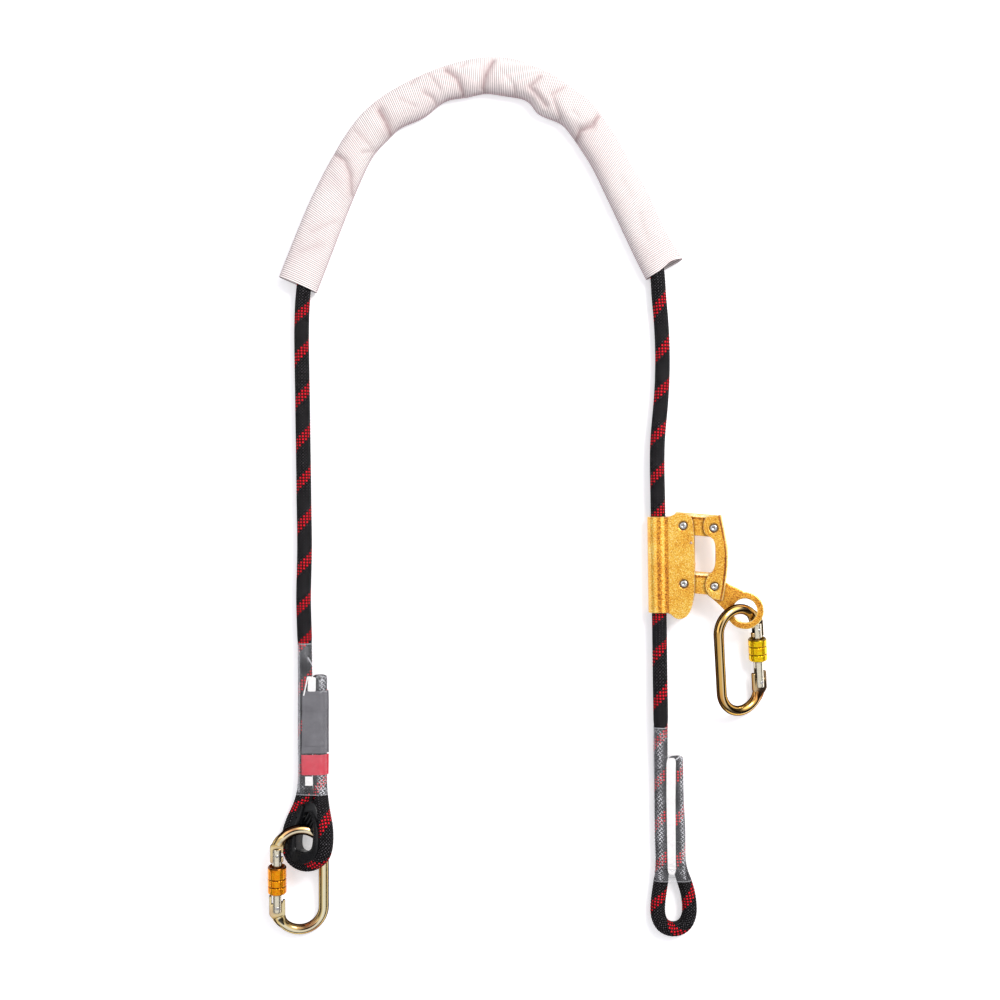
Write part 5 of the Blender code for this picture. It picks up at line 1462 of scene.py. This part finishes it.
def lock_part(link):
    """The screw sleeve: a knurled barrel with two grooves and a plain collar at each end."""
    length = link["lock_length"]
    steps = 96
    turns = [2 * math.pi * k / steps for k in range(steps)]
    grooves = [length * (1 - share) for share in link["grooves"]]
    rows = []
    for h in np.linspace(0, length, 120):
        chamfer = max(0.0, 0.0011 - min(h, length - h))
        groove = sum(math.exp(-(((h - g) / 0.0005) ** 2)) for g in grooves)
        barrel = 0.0092 - 0.75 * chamfer - 0.0008 * min(groove, 1)
        knurl = 0.0002 + 0.0005 * min(groove * 1.3, 1) if 0.003 < h < length - 0.003 else 0.0
        radii = [barrel - knurl * abs(math.sin(turn * 7)) ** 6 for turn in turns]
        rows.append([(r * math.cos(t), r * math.sin(t), h) for r, t in zip(radii, turns)])
    bore = [
        (0.0076, length), (0.0073, length - 0.0004), (0.0073, length - 0.0088),
        (0.0051, length - 0.009), (0.0051, 0.0003), (0.0054, 0.0),
    ]
    rows += [[(r * math.cos(t), r * math.sin(t), h) for t in turns] for r, h in bore]
    foot = Matrix.Translation((0, lock_foot(link), 0))
    return moved_part(grid_part(rows, closed=True), foot @ UPRIGHT)


def pin_part(radius, reach):
    """A peened pin through the tube, a little domed at both ends."""
    dome = [(0.0, 0.0004), (radius * 0.45, 0.00034), (radius * 0.8, 0.0001), (radius, -0.0003)]
    return turned_part(both_faces([(r, reach + h) for r, h in dome]), 24, closed=False)


def rod_tone(word, x, y, z):
    """The painted reflections on the rod's top, and painted shade under it. The flats at its
    ends are plain, with a little painted light on top and painted shade below.
    """
    if x > LOOP_WIDTH / 2 - 0.009 and abs(y) < 0.036:
        return 0.35 if z > 0.0015 else -0.5
    out = math.hypot(x, max(abs(y) - LOOP_STRAIGHT, 0.0)) - LOOP_WIDTH / 2
    reflected = (tone * band(out, low * MM, high * MM) for low, high, tone in ROD_REFLECTIONS[word])
    return sum(reflected) if z > 0 else -0.4


def lock_tone(link, y):
    """Painted shade in the grooves and on the rims along the screw sleeve."""
    up = (y - lock_foot(link)) / link["lock_length"]
    grooves = sum(band(up, 1 - g - 0.016, 1 - g + 0.016, 0.01) for g in link["grooves"])
    rims = 0.9 * band(up, 0.95, 1.1, 0.02) + 0.6 * band(up, -0.1, 0.03, 0.02)
    return -0.85 * min(grooves, 1) - rims


def build_connector(word, zinc, steel, rivet, finish):
    link = LINKS[word]
    side = link["side"]
    frame_at = link_frame(link)
    mirror = Matrix.Diagonal((side, 1, 1, 1))
    hinge, latch = (
        Matrix.Translation((side * LOOP_WIDTH / 2, way * PIVOT_TO_LATCH / 2, 0)) for way in (-1, 1)
    )
    parts = [rod_part(side)]
    for outline, place in ((tongue_outline(link), hinge), (nose_outline(), latch)):
        flat = plate_part(outline, [], -FLAT_HALF, FLAT_HALF, 0.0006)
        parts.append(moved_part(flat, place @ mirror))

    def frame_tone(x, y, z):
        return rod_tone(word, side * x, y, z)

    name, node = f"{word}_oval_frame", f"{word}_loop"
    body, slot = f"{word}_connector", "connector_zinc"
    piece(name, parts, zinc, body, node, slot, frame_at, sharp=50, tone=frame_tone)
    gate_at = frame_at @ hinge
    name, node = f"{word}_gate_barrel", f"{word}_gate_tube"
    tube = piece(name, [tube_part()], steel, f"{word}_gate", node, slot, gate_at)
    ends = ((-0.01, 0.015), (PIVOT_TO_LATCH - 0.0083, PIVOT_TO_LATCH + 0.01))
    thin = 0.0025
    cut(tube, [box_part((-0.01, low, -thin), (0.01, high, thin)) for low, high in ends], gate_at)
    pins = (("hinge", 0.0020, 0.0, body), ("latch", 0.0017, PIVOT_TO_LATCH, f"{word}_gate"))
    for kind, radius, up, holder in pins:
        pin = moved_to(pin_part(radius, 0.0048), (0, up))
        node = f"{word}_{kind}_pin"
        piece(f"{word}_{kind}_rivet", [pin], rivet, holder, node, "rivet_steel", gate_at)

    def tone(x, y, z):
        return lock_tone(link, y)

    name, body, node = f"{word}_screw_sleeve", f"{word}_lock", f"{word}_lock_sleeve"
    piece(name, [lock_part(link)], finish, body, node, link["slot"], gate_at, sharp=60, tone=tone)


# Splices: the film over rope and tail, the labels under it, and the sewing

SQUEEZED = ROPE_DIAMETER / 2 * SPLICE_SHARE
FILM_GAP = 0.00035
FILM_WALL = 0.0003
FILM_CELL = 0.0042
FILM_COLUMNS = 120
FILM_STEP = 0.0006
# For each film: the limbs' x near it, the y of its two cuts, and how the hull's second
# circle opens above the tail's end: view y, its right edge from the rope's, its radius
FILMS = {
    "left": {
        "main": -0.2127,
        "tail": -0.1979,
        "top": 643.0,
        "foot": 793.5,
        "opening": [
            (655.0, 0.0, 5.0), (664.0, 1.2, 4.0), (670.0, 2.9, 3.2), (673.6, 5.0, 3.0),
            (675.2, 13.6, 5.5), (678.0, 14.8, 7.4),
        ],
    },
    "right": {
        "main": 0.1433,
        "tail": 0.1590,
        "top": 726.3,
        "foot": 880.0,
        "opening": [
            (746.0, 0.0, 5.0), (751.0, 1.2, 3.0), (753.0, 6.0, 3.0), (754.4, 12.5, 4.5),
            (757.5, 15.6, 7.4),
        ],
    },
}
# Where film lies in folds, each with a painted highlight along it: view places of each,
# its half width and its strength
FILM_LIT_FOLDS = {
    "left": [
        ([(311.8, 650), (313.0, 660), (315.4, 669), (317.6, 674)], 0.8, 0.5),
        ([(308.0, 658), (311.4, 665), (314.8, 671.5)], 0.7, 0.55),
        ([(305.5, 655), (308.2, 662)], 0.9, 0.2),
        ([(315.0, 674.6), (321.0, 673.6), (328.0, 675.0)], 0.6, 0.55),
        ([(316.6, 677.5), (319.6, 675.6), (322.6, 677.4)], 0.5, 0.55),
        ([(320.0, 682.0), (322.4, 679.6), (324.0, 681.6)], 0.6, 0.8),
        ([(319.4, 686.4), (322.8, 684.2), (324.6, 686.6)], 0.5, 0.55),
        ([(325.4, 678.0), (327.6, 676.6)], 0.6, 0.7),
        ([(318.4, 679.0), (320.0, 684.6)], 0.4, 0.35),
        ([(298.4, 646), (299.0, 690), (299.0, 740), (298.6, 792)], 0.7, 0.55),
        ([(320.0, 693.0), (323.0, 690.8), (326.0, 692.4)], 0.5, 0.5),
        ([(316.0, 786.0), (319.0, 790.0), (326.0, 789.0)], 0.5, 0.5),
    ],
    "right": [
        ([(667.6, 752.6), (671.2, 751.0), (676.0, 752.4), (683.0, 755.6)], 0.55, 0.6),
        ([(676.0, 759.5), (680.0, 757.0), (682.6, 759.5)], 0.6, 0.85),
        ([(654.8, 728), (654.8, 800), (655.4, 878)], 0.6, 0.35),
        ([(660.0, 736), (662.0, 750), (661.4, 768)], 0.8, 0.18),
        ([(668.4, 868), (672.0, 871.6), (676.0, 869.6)], 0.5, 0.5),
        ([(683.6, 762), (684.2, 820), (684.6, 876)], 0.5, 0.35),
    ],
}
# Painted glints, where the braid's strokes shine through the film, as its folds are given
FILM_GLINTS = {
    "left": [
        ([(298.4, 652), (298.4, 720), (298.0, 790)], 1.7, 0.75),
        ([(322.0, 676), (323.0, 690)], 3.6, 0.85),
        ([(321.5, 775), (322.5, 792)], 4.2, 0.95),
        ([(303.0, 787), (316.0, 789)], 2.6, 0.35),
        ([(305.0, 646), (306.0, 655)], 3.5, 0.3),
    ],
    "right": [
        ([(659.6, 744), (660.2, 800), (660.8, 878)], 2.9, 1.0),
        ([(681.6, 760), (682.4, 820), (684.4, 878)], 1.9, 0.9),
        ([(657.0, 730), (664.0, 738)], 3.6, 0.45),
        ([(670.0, 872), (680.0, 874)], 3.0, 0.6),
    ],
}
# Where a label keeps the film off the braid: view y from and to, and x from and to
COVERED = {"left": (689.5, 774.0, 301.5, 330.0), "right": (756.5, 873.0, 666.5, 676.0)}
FILM_RELIEF = 0.00026
LABEL_GAP = 0.00012
# The y that each run of sewing starts and ends at
SEWING = {"left": (-0.1900, -0.2820), "right": (-0.2700, -0.3600)}
SEWING_TURNS = 28


def limb_at(rope_line, near_x, y):
    """x and z of the rope's limb nearest near_x, at each y."""
    close = rope_line[np.abs(rope_line[:, 0] - near_x) < 0.0074]
    close = close[(close[:, 1] > -0.4) & (close[:, 1] < -0.14)]
    order = np.argsort(close[:, 1])
    return [np.interp(y, close[order, 1], close[order, axis]) for axis in (0, 2)]


def hull_row(circles, count):
    """Points round the hull of circles in x and z, from below clockwise, evenly spaced,
    with their outward directions and how far each lies from the circles."""
    turn = np.linspace(-np.pi / 2, -2.5 * np.pi, 481)
    way = np.stack([np.cos(turn), np.sin(turn)], axis=1)
    reach = np.stack([x * way[:, 0] + z * way[:, 1] + r for x, z, r in circles])
    touched = np.array(circles)[np.argmax(reach, axis=0)]
    line = touched[:, :2] + way * touched[:, 2:]
    run = run_of(line)
    at = np.linspace(0, run[-1], count, endpoint=False)
    flat = np.stack([np.interp(at, run, line[:, axis]) for axis in (0, 1)], axis=1)
    angle = np.interp(at, run, turn)
    gap = np.min([np.linalg.norm(flat - (x, z), axis=1) - r for x, z, r in circles], axis=0)
    return flat, np.stack([np.cos(angle), np.sin(angle)], axis=1), at, np.abs(gap)


def splice_circles(rope_line, side, y, extra):
    """The rope's circle at y, and the one that the film's other edge lies on."""
    film = FILMS[side]
    keys = np.array(film["opening"])
    main_x, main_z = limb_at(rope_line, film["main"], y)
    tail_x, tail_z = limb_at(rope_line, film["tail"], min(y, spot(0, keys[-1, 0]).y))
    view_y = 500 - (y - VIEW_CENTRE[1]) / MM
    full = SQUEEZED + extra
    if view_y < keys[0, 0]:
        return [(main_x, main_z, full)]
    out, radius = (np.interp(view_y, keys[:, 0], keys[:, k]) * MM for k in (1, 2))
    open_share = np.interp(view_y, keys[-2:, 0], [0.0, 1.0])
    x = main_x + SQUEEZED + out - radius
    x = x + (tail_x - x) * open_share
    radius = (radius + extra) + (full - radius - extra) * open_share
    return [(main_x, main_z, full), (x, main_z + (tail_z - main_z) * open_share, radius)]


def folded(lines, flat):
    """How strongly marks drawn along lines show, at flat places."""
    total = np.zeros(flat.shape[:-1])
    for places, width, strength in lines:
        away = distance_to(flat, drawn(places, 0.016)) / (width * MM)
        total = np.maximum(total, strength * np.exp(-(away**2)))
    return total


def build_film(side, rope_line, finish):
    """A shrunk tube with the braid and its folds pressed through it."""
    film = FILMS[side]
    top, foot = spot(0, film["top"]).y, spot(0, film["foot"]).y
    ys = np.linspace(top, foot, int((top - foot) / FILM_STEP))
    rings = []
    for y in ys:
        circles = splice_circles(rope_line, side, y, FILM_GAP + FILM_WALL)
        rings.append(hull_row(circles, FILM_COLUMNS))
    flat, way, around, gaps = (np.array(block) for block in zip(*rings))
    level = np.broadcast_to(ys[:, None], around.shape)
    outer = np.stack([flat[..., 0], level, flat[..., 1]], axis=-1)
    ways = np.stack([way[..., 0], np.zeros_like(level), way[..., 1]], axis=-1)
    # painted highlights along the folds, on the film's top
    fold_highlight = folded(FILM_LIT_FOLDS[side], outer[..., :2]) * (ways[..., 2] > 0.05)
    a, b = (around + level) / FILM_CELL, (around - level) / FILM_CELL
    pressed_on = np.clip(1 - gaps / 0.0004, 0, 1)
    # painted glints where the film touches the braid, along the glint lines, and none over a label
    touch_glint = pressed_on * folded(FILM_GLINTS[side], outer[..., :2])
    first, last, from_x, to_x = COVERED[side]
    over_label = (level < spot(0, first).y) & (level > spot(0, last).y) & (ways[..., 2] > 0)
    over_label &= (outer[..., 0] > spot(from_x, 0).x) & (outer[..., 0] < spot(to_x, 0).x)
    touch_glint = touch_glint * (1 - over_label)
    weave_height = np.sqrt(np.abs(np.sin(np.pi * a) * np.sin(np.pi * b)))
    relief = FILM_RELIEF * pressed_on * (weave_height - 1) + fold_highlight * 0.0006
    wave = np.sin(level * 420) * 0.00005 + np.sin(level * 173 + 2) * 0.00006
    sag = np.clip(gaps / 0.0012, 0, 1) * (0.00014 - wave)
    skin = outer + ways * (relief - sag)[..., None]
    kept = np.linspace(len(ys) - 1, 0, 60).astype(int)
    points = np.concatenate([skin, outer[kept] - ways[kept] * (FILM_WALL + 0.00034)])
    points[..., 2] = np.maximum(points[..., 2], FLOOR_GAP)
    mesh = mesh_of_grid(f"{side}_film", points, closed=True)
    # painted highlights along both cut ends
    ends = np.minimum(ys[0] - ys, ys - ys[-1])
    fold_highlight = np.maximum(fold_highlight, (0.55 * np.exp(-((ends / 0.0007) ** 2)))[:, None])
    for name, values in zip(FILM_VALUES, (a, b, fold_highlight, touch_glint, np.ones_like(touch_glint))):
        # the inner face only repeats the counts of the weave
        inside = values[kept] * name.startswith("weave")
        set_values(mesh, name, np.concatenate([values, inside]))
    name, node = f"{side}_clear_wrap", f"{side}_shrink_film"
    placed(name, mesh, finish, "lanyard", node, "clear_film")


def top_height(rope_line, side, x, y, extra):
    """How high the hull's top lies at x and y."""
    flat = hull_row(splice_circles(rope_line, side, y, extra), 240)[0]
    left, right = sorted((int(np.argmin(flat[:, 0])), int(np.argmax(flat[:, 0]))))
    over = flat[left : right + 1]
    order = np.argsort(over[:, 0])
    return float(np.interp(x, over[order, 0], over[order, 1]))


def label_part(rope_line, side, strip, over=0.0):
    """A strip of film label on the hull's top: each row is view y, left x and right x."""
    keys = np.array(strip)
    rows = []
    for view_y in np.arange(keys[0, 0], keys[-1, 0] + 0.01, 1.0):
        y = spot(0, view_y).y
        edges = (np.interp(view_y, keys[:, 0], keys[:, k]) for k in (1, 2))
        left, right = (spot(x, 0, 0.0158).x for x in edges)
        height = LABEL_GAP + over
        steps = np.linspace(left, right, 22)
        rows.append([(x, y, top_height(rope_line, side, x, y, height)) for x in steps])
    return sheet_part(rows, 0.00005, 0.00006)


# Label strips by ink, 0 grey, 1 white and 2 red: rows of view y, left x and right x
LEFT_LABELS = {
    0.0: [[(690.0, 302.6, 327.6), (700.0, 302.2, 327.8), (752.6, 301.6, 327.8)]],
    1.0: [
        [(676.4, 309.2, 315.0), (677.4, 308.2, 315.8), (689.4, 307.6, 315.6), (690.4, 308.6, 314.8)],
        [(775.0, 305.2, 312.6), (784.6, 305.2, 312.6)],
        [
            (675.6, 307.4, 313.6), (676.6, 306.8, 308.4), (680.0, 306.2, 307.4),
            (686.0, 304.9, 306.1), (691.0, 303.8, 305.0), (695.0, 302.9, 304.0),
        ],
    ],
    2.0: [[(753.6, 301.2, 327.8), (773.6, 301.4, 327.6)]],
}
RIGHT_LABELS = {
    1.0: [[
        (756.6, 669.0, 674.0), (758.0, 667.2, 675.4), (762.0, 666.6, 675.8), (800.0, 666.6, 675.4),
        (868.0, 667.8, 675.8), (871.0, 668.6, 675.2), (872.6, 670.0, 674.0),
    ]],
}


def build_labels(rope_line, finish):
    sides = (("left", LEFT_LABELS, "grey_label"), ("right", RIGHT_LABELS, "white_label"))
    for side, labels, slot in sides:
        parts, inks = [], []
        for ink, strips in labels.items():
            for strip in strips:
                parts.append(label_part(rope_line, side, strip, 0.0001 * ink))
                inks += [ink] * len(parts[-1][0])
        thing = piece(f"{side}_film_label", parts, finish, "lanyard", f"{side}_label", slot)
        set_values(thing.data, "ink", inks)


def build_sewing(rope_line, finish):
    """The thread, two twisted plies, that zigzags in the valley between rope and tail."""
    for side, (start, end) in SEWING.items():
        knots = []
        for k in range(SEWING_TURNS + 1):
            y = start + (end - start) * k / SEWING_TURNS
            limbs = [limb_at(rope_line, FILMS[side][limb], y) for limb in ("main", "tail")]
            x, z = np.mean(limbs, axis=0)
            knots.append((x + (0.0026 if k % 2 else -0.0026), y, z + 0.0061))
        line = smooth_curve(knots, 12)
        _, up, across = carried_frames(line)
        parts = []
        for ply in (0, np.pi):
            twist = (run_of(line) * 2 * np.pi / 0.0016 + ply)[:, None]
            middle = line + (up * np.cos(twist) + across * np.sin(twist)) * 0.00018
            parts.append(grid_part(tube_points(middle, up, across, 0.00022, 6), caps=True))
        name, node = f"{side}_sewing_thread", f"{side}_stitching"
        piece(name, parts, finish, "lanyard", node, "thread")


# Thimble

THIMBLE_TOP = 0.009
THIMBLE_UNDER = 0.0082
EYE_TIP_Y = -0.306
# Along the eye, by shares of its run, in mm: how far in the wall stands, how far out the
# flanges reach over the rope, and how high the top is, low where the gate swings over it
THIMBLE_WALL = ([0, 0.1, 0.24, 0.5, 0.8, 1.0], [8.3, 9.4, 10.6, 12.2, 12.2, 8.6])
THIMBLE_LIP = ([0, 0.1, 0.28, 0.45, 0.68, 0.85, 1.0], [7.6, 4.6, 3.0, 0.6, 0.4, 1.6, 5.0])
THIMBLE_TOPS = ([0, 0.5, 0.62, 0.9, 1.0], [1, 1, 0.84, 0.84, 1])
THROAT_HALF = 0.0045
THROAT_HOLE = (303.9, 815.0)
HOLE_AT = (305.4, 815.0)
WEDGE_OUTLINE = [
    (306.0, 783.0), (311.0, 783.0), (313.4, 797.0), (314.4, 807.0), (303.4, 807.0), (304.0, 797.0),
]
THROAT_OUTLINE = [
    (303.0, 804.0), (309.5, 801.0), (314.5, 805.0), (317.5, 815.0), (318.5, 826.0),
    (313.0, 831.5), (306.0, 832.5), (298.0, 829.5), (294.5, 822.0), (297.5, 811.0),
]
THROAT_RIBS = [
    [(309.5, 812.0), (307.0, 817.0), (303.5, 822.5)],
    [(312.0, 814.5), (309.4, 820.0), (305.6, 826.0)],
    [(313.6, 818.5), (312.0, 823.0), (309.0, 828.0)],
]


def thimble_section(reach, out, top):
    """The ring's section, as steps inwards and upwards: a groove that holds the rope, a
    flange on each side and a rounded inner wall."""
    groove, rim, round_in = ROPE_DIAMETER / 2 + 0.0002, 0.0009, 0.0026
    low = -THIMBLE_UNDER
    start = math.acos(min(max(out / groove, -0.2), 0.999))
    section = [(groove * math.cos(t), groove * math.sin(t)) for t in np.linspace(-start, start, 21)]
    section += [(out, top - rim * 0.6), (out + rim * 0.3, top - rim * 0.15), (out + rim, top)]
    section += [(out + (reach - out) * s, top) for s in (0.35, 0.65)]
    turns = np.linspace(0, math.pi / 2, 6)
    bend = reach - round_in
    section += [(bend + round_in * math.sin(t), top - round_in * (1 - math.cos(t))) for t in turns]
    section += [(bend + round_in * math.cos(t), low + round_in * (1 - math.sin(t))) for t in turns]
    return section + [(out + rim, low), (out, low + rim * 0.6)]


def thimble_ring(eye, middle, normal):
    share = run_of(eye)
    share = share / share[-1]
    ahead = np.gradient(eye, axis=0)
    ahead /= np.linalg.norm(ahead, axis=1)[:, None]
    inward = np.cross(normal, ahead)
    inward /= np.linalg.norm(inward, axis=1)[:, None]
    facing = np.sign(np.sum(inward * (middle - eye), axis=1))
    inward *= np.sign(facing.sum())
    wall, lip = (np.interp(share, *table) * MM for table in (THIMBLE_WALL, THIMBLE_LIP))
    tops = np.interp(share, *THIMBLE_TOPS) * THIMBLE_TOP
    rows = []
    for place, way, *sizes in zip(eye, inward, wall, lip, tops):
        rows.append([place + way * u + normal * w for u, w in thimble_section(*sizes)])
    rows = np.array(rows)
    rows[..., 2] = np.maximum(rows[..., 2], 0.0003)
    return grid_part(rows, caps=True)


def throat_parts(where):
    """The filled throat with its small hole and three ribs, in the eye's own frame."""
    outline = through([tuple(on_plane(where, x, y, THROAT_HALF)) for x, y in THROAT_OUTLINE])
    hole = arc(on_plane(where, *THROAT_HOLE, 0.0), 0.00125, 0, 2 * math.pi * 15 / 16, 15)
    parts = [plate_part(outline, [hole], -THROAT_HALF, THROAT_HALF, 0.0012)]
    for places in THROAT_RIBS:
        knots = [(*on_plane(where, x, y, THROAT_HALF), THROAT_HALF) for x, y in places]
        line = smooth_curve(knots, 8)
        _, up, side = carried_frames(line)
        size = 0.0009 * np.sin(np.linspace(0.15, np.pi - 0.15, len(line)))
        parts.append(grid_part(tube_points(line, up, side, size[:, None], 10), caps=True))
    return [moved_part(part, where) for part in parts]


def build_thimble(rope_line, finish):
    """The plastic liner of the left eye: a grooved ring with wide flanges that run up
    both limbs, and a filled throat with a small hole."""
    left = rope_line[:, 0] < VIEW_CENTRE[0]
    eye = rope_line[left & (rope_line[:, 1] < EYE_TIP_Y)][::2]
    middle = eye.mean(axis=0)
    _, _, axes = np.linalg.svd(eye - middle)
    normal = axes[2] * np.sign(axes[2][2])
    throat, *ribs = throat_parts(throat_frame(eye, normal))
    wedge = rounded([(*spot(x, y, 0.0118).to_2d(), 0.001) for x, y in WEDGE_OUTLINE])
    parts = [thimble_ring(eye, middle, normal), throat, plate_part(wedge, [], 0.0041, 0.0112, 0.0012)]
    parts += ribs
    name, node, slot = "left_eye_thimble", "left_thimble", "black_plastic"
    made = piece(name, parts, finish, "lanyard", node, slot, sharp=50)
    cut(made, [moved_to(bore_part(0.0012, 0.03), spot(*HOLE_AT, 0.014))], crossing=True)


def throat_frame(eye, normal):
    """A frame in the eye's plane at the throat between its limbs, y up the limbs."""
    first, last = eye[len(eye) // 12], eye[-len(eye) // 12]
    across = first - last
    across = across - normal * (across @ normal)
    x = across / np.linalg.norm(across) * np.sign(across[0])
    y = np.cross(normal, x)
    turn = Matrix((tuple(x), tuple(y), tuple(normal))).transposed().to_4x4()
    return Matrix.Translation(Vector((first + last) / 2)) @ turn


# Floor and light

# Brightness of the room by height, from below to the ceiling
ROOM = [
    (0.0, (0.42, 0.42, 0.44)), (0.05, (0.04, 0.04, 0.05)), (0.38, (0.05, 0.05, 0.06)),
    (0.52, (0.62, 0.62, 0.64)), (0.9, (0.8, 0.8, 0.81)), (0.945, (0.7, 0.7, 0.71)),
    (0.972, (0.03, 0.03, 0.03)),
]
WINDOW_WAY = (0.45, 0.62, 0.64)
WINDOW_LIGHT = (2.2, 2.18, 2.12)
FLOOR_GLOW = 0.45
# The rays that see the floor glow
RAYS = ("Camera", "Glossy", "Transmission")


def build_floor():
    """Matt and pale, and bright to the camera, so that it ends up white but for shadows."""
    bpy.ops.mesh.primitive_plane_add(size=8, location=(0, 0, -0.0004))
    floor = bpy.context.object
    floor.name = "floor"
    finish = bpy.data.materials.new("pale_floor")
    finish.use_nodes = True
    tree = finish.node_tree
    tree.nodes.clear()
    matt = output(tree, "ShaderNodeBsdfDiffuse", {"Color": (0.80, 0.785, 0.82, 1)})
    rays = add(tree, "ShaderNodeLightPath").outputs
    camera, glossy, clear = (Value(rays[f"Is {kind} Ray"]) for kind in RAYS)
    seen = maths("MAXIMUM", maths("MAXIMUM", camera, glossy), clear)
    sockets = {"Color": (1, 1, 1, 1), "Strength": seen * FLOOR_GLOW}
    glow = output(tree, "ShaderNodeEmission", sockets)
    total = output(tree, "ShaderNodeAddShader", {0: matt, 1: glow})
    add(tree, "ShaderNodeOutputMaterial", {"Surface": total})
    floor.data.materials.append(finish)


def build_world():
    """White for the camera. Elsewhere a studio: dark low walls, a grey ceiling, and a
    bright window high on the right."""
    world = bpy.data.worlds.new("studio")
    world.use_nodes = True
    tree = world.node_tree
    seen = output(tree, "ShaderNodeLightPath", key="Is Camera Ray")
    way = output(tree, "ShaderNodeTexCoord", key="Generated")
    sockets = {0: way, 1: WINDOW_WAY}
    towards = output(tree, "ShaderNodeVectorMath", sockets, "Value", operation="DOT_PRODUCT")
    room = mixed(spread(towards, 0.84, 0.95), ramp(split(way)[2], ROOM), WINDOW_LIGHT)
    feed(tree.nodes["Background"], {"Color": mixed(seen, room, WHITE), "Strength": 1})
    SCENE.world = world


# The scene

SCENE.view_settings.view_transform = "Standard"
add_camera()
build_world()
build_floor()
add_light("key", (1.0, 1.05, 1.6), (0, 0, 0), 0.7, 34, (1, 0.99, 0.975))
add_light("fill", (-1.2, 0.3, 1.5), (0, 0, 0), 1.6, 7, (0.95, 0.96, 1))

rope, rope_line, rope_run = build_rope()
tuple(ROPE_ROUTE[0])
[tuple(p) for p in rope_line]
sleeve = build_sleeve(rope_line)

gold = gold_zinc_material()
rivet = steel_material("rivet_steel", (0.80, 0.79, 0.77), (0.52, 0.51, 0.50), 0.3)
dark_steel = steel_material("dark_steel", (0.42, 0.38, 0.32), (0.22, 0.20, 0.18), 0.4)
zinc = {
    "left": connector_material("left_zinc", (1.0, 0.96, 0.80)),
    "right": connector_material("right_zinc", (0.90, 0.68, 0.36)),
}
anodised = {
    "left": anodised_material("orange_anodised", (1.0, 0.43, 0.006), (0.96, 0.26, 0.002)),
    "right": anodised_material("yellow_anodised", (1.0, 0.76, 0.008), (1.0, 0.54, 0.003)),
}
film = film_material()
build_grab(gold, rivet)
tube_steel = steel_material("gate_steel", (1.0, 0.95, 0.80), (0.86, 0.78, 0.58), 0.20, flank=True)
for word in ("left", "right"):
    build_connector(word, zinc[word], tube_steel, rivet, anodised[word])
    build_film(word, rope_line, film)
build_labels(rope_line, label_material())
build_sewing(rope_line, plastic_material("thread", (0.03, 0.03, 0.03), 0.7))
black_plastic = plastic_material("black_plastic", (0.007, 0.007, 0.008), 0.30, gloss=0.30)
build_thimble(rope_line, black_plastic)
# The hidden parts that stay as the frame has them
hidden = {f"{word}_gate_{kind}": rivet for word in LINKS for kind in ("spring", "plunger")}
for node, finish in {"upper_cam": dark_steel, **hidden}.items():
    NODES[node].data.materials.clear()
    NODES[node].data.materials.append(finish)
